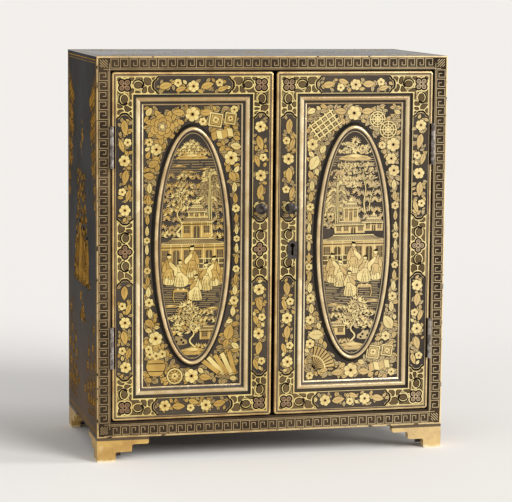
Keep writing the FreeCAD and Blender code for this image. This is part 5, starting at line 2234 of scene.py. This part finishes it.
def mix_finishes() -> None:
    """Make every material once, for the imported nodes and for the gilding."""
    black, brown = srgb(45, 38, 31), srgb(71, 60, 47)
    frame_black, frame_brown = srgb(50, 41, 32), srgb(76, 63, 48)
    bright = Gilt("bright_gilding", srgb(230, 212, 170), srgb(198, 170, 120), 0.1, 0.18, 0.25, 1.0)
    foot = Gilt("foot_gilding", srgb(194, 158, 86), srgb(162, 124, 62), 0.24)
    edge = Gilt("edge_gilding", srgb(214, 182, 122), srgb(172, 134, 82), 0.2, 0.3, 0.45)
    arris = Gilt("arris_gilding", srgb(212, 184, 130), srgb(174, 142, 94), 0.12)
    dull = {"metallic": 0.0, "gloss": 0.0, "painted_light": 0.0}
    tints = (
        Gilt(PALE.value, srgb(222, 201, 131), srgb(199, 171, 100), 0.12),
        Gilt(WARM.value, srgb(190, 155, 78), srgb(164, 128, 59), 0.16),
        Gilt(ROSE.value, srgb(146, 114, 80), srgb(122, 94, 66), 0.2),
        Gilt(FADED.value, srgb(168, 142, 88), srgb(138, 114, 70), 0.3),
        Gilt(LINE.value, srgb(172, 148, 108), srgb(140, 118, 84), 0.24, gloss=0.05),
        Gilt(OLD.value, srgb(140, 104, 48), srgb(98, 72, 36), 0.36, **dull),
        Gilt(AMBER.value, srgb(172, 131, 60), srgb(130, 96, 44), 0.3, **dull),
        Lacquer(INK.value, srgb(22, 17, 14), srgb(40, 32, 26), gloss=0.0),
        Lacquer(CELL.value, srgb(84, 69, 48), srgb(108, 90, 62), gloss=0.0),
        Metal(STEEL.value, srgb(150, 142, 132), srgb(84, 76, 70), 0.3),
    )
    finishes = (
        Lacquer("case_lacquer", frame_black, frame_brown, Gilding.ARRIS, arris, gloss=0.004),
        Lacquer("back_lacquer", black, brown),
        Lacquer("inner_lacquer", srgb(46, 38, 34), srgb(70, 56, 46)),
        Lacquer("door_lacquer", black, brown, Gilding.DOOR_EDGE, edge),
        Lacquer("panel_lacquer", black, brown),
        # The medallion's slope takes painted shade.
        Lacquer("medallion_lacquer", black, brown, Gilding.SLOPE),
        # The bead takes painted shade on its upper, lower and right-hand strips.
        Lacquer("moulding_gilt", black, brown, Gilding.BEAD, bright),
        Gilt("bead_gilt", srgb(220, 194, 144), srgb(178, 144, 92), 0.08, 0.18, 0.35, 1.0),
        FootGilt("foot_gilt", foot, srgb(226, 208, 170), srgb(60, 46, 36)),
        Metal("hinge_metal", srgb(158, 150, 142), srgb(96, 88, 82), 0.28),
        Metal("pewter", srgb(84, 77, 72), srgb(44, 40, 37), 0.32),
        Metal("lock_brass", srgb(192, 156, 90), srgb(158, 124, 72), 0.3),
    )
    for finish in tints:
        PALETTE[Tint(finish.name)] = finish.material()
    for finish in finishes:
        FINISH[finish.name] = finish.material()


@dataclass(frozen=True)
class Studio:
    """A pale floor, soft light and the camera where the photograph was taken from."""

    floor_reach: float = 60.0
    floor_colour: Colour = srgb(236, 234, 231)
    sky_colour: Colour = srgb(246, 245, 243)
    sky_light: float = 0.55
    camera_place: tuple[float, float, float] = (-0.51429, -2.13107, 0.48315)
    camera_bearing: float = radians(-13.635)
    camera_tilt: float = radians(7.473)
    camera_roll: float = radians(0.469)
    focal_length: float = 150.33
    sensor: float = 36.0

    def build_floor(self) -> None:
        """Lay the floor, which is no part of the cabinet."""
        reach = self.floor_reach
        mesh = bpy.data.meshes.new("studio_floor")
        corners = [(x, y, 0) for x, y in oblong(-reach, -reach, reach, reach)]
        mesh.from_pydata(corners, [], [(0, 1, 2, 3)])
        bench = Bench("floor_paper")
        bench.dress(base_color=self.floor_colour, roughness=0.8, specular_ior_level=0.0)
        mesh.materials.append(bench.material)
        floor = bpy.data.objects.new("studio_floor", mesh)
        bpy.context.scene.collection.objects.link(floor)

    def build_sky(self) -> None:
        """Set an even pale light all round."""
        world = bpy.data.worlds.new("studio_sky")
        world.use_nodes = True
        sky = world.node_tree.nodes["Background"]
        sky.inputs["Color"].default_value = (*self.sky_colour, 1.0)
        sky.inputs["Strength"].default_value = self.sky_light
        bpy.context.scene.world = world

    @staticmethod
    def lamp(name: str, side: tuple[float, float, float], power: float, width: float) -> None:
        """Light the cabinet and the whole floor evenly from one side.

        Args:
            name: What it is called.
            side: The way that the light comes from.
            power: Its watts on a square metre.
            width: How wide it looks, in degrees, which makes it soft.
        """
        light = bpy.data.lights.new(name, "SUN")
        light.energy, light.angle = power, radians(width)
        holder = bpy.data.objects.new(name, light)
        holder.rotation_euler = (-Vector(side)).to_track_quat("-Z", "Y").to_euler()
        bpy.context.scene.collection.objects.link(holder)

    def build_camera(self) -> None:
        """Stand the camera at the photograph's place, with its roll."""
        bearing, tilt, roll = self.camera_bearing, self.camera_tilt, self.camera_roll
        back = Vector((sin(bearing) * cos(tilt), -cos(bearing) * cos(tilt), sin(tilt)))
        right = UP.cross(back).normalized()
        up = back.cross(right)
        turned = cos(roll) * right + sin(roll) * up
        raised = cos(roll) * up - sin(roll) * right
        lens = bpy.data.cameras.new("photo_camera")
        lens.lens, lens.sensor_width = self.focal_length, self.sensor
        camera = bpy.data.objects.new("photo_camera", lens)
        axes = Matrix((turned, raised, back)).transposed().to_4x4()
        camera.matrix_world = Matrix.Translation(self.camera_place) @ axes
        bpy.context.scene.collection.objects.link(camera)
        bpy.context.scene.camera = camera

    def build(self) -> None:
        """Set up the floor, the light and the camera."""
        bpy.context.scene.view_settings.view_transform = "Standard"
        self.build_floor()
        self.build_sky()
        self.lamp("key_light", (1.5, -2.1, 1.5), 2.25, 32.0)
        self.lamp("edge_light", (4.6, -0.8, 0.9), 2.4, 20.0)
        self.lamp("fill_light", (-1.8, -1.6, 1.0), 0.4, 40.0)
        self.build_camera()


def main() -> None:
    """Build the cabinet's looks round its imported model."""
    logging.basicConfig(level=logging.INFO, format="%(message)s")
    mix_finishes()
    Carcase().build()
    Door("left", -1.0, 101).build()
    Door("right", 1.0, 202).build()
    Hardware().build()
    Studio().build()


if __name__ == "__main__":
    main()
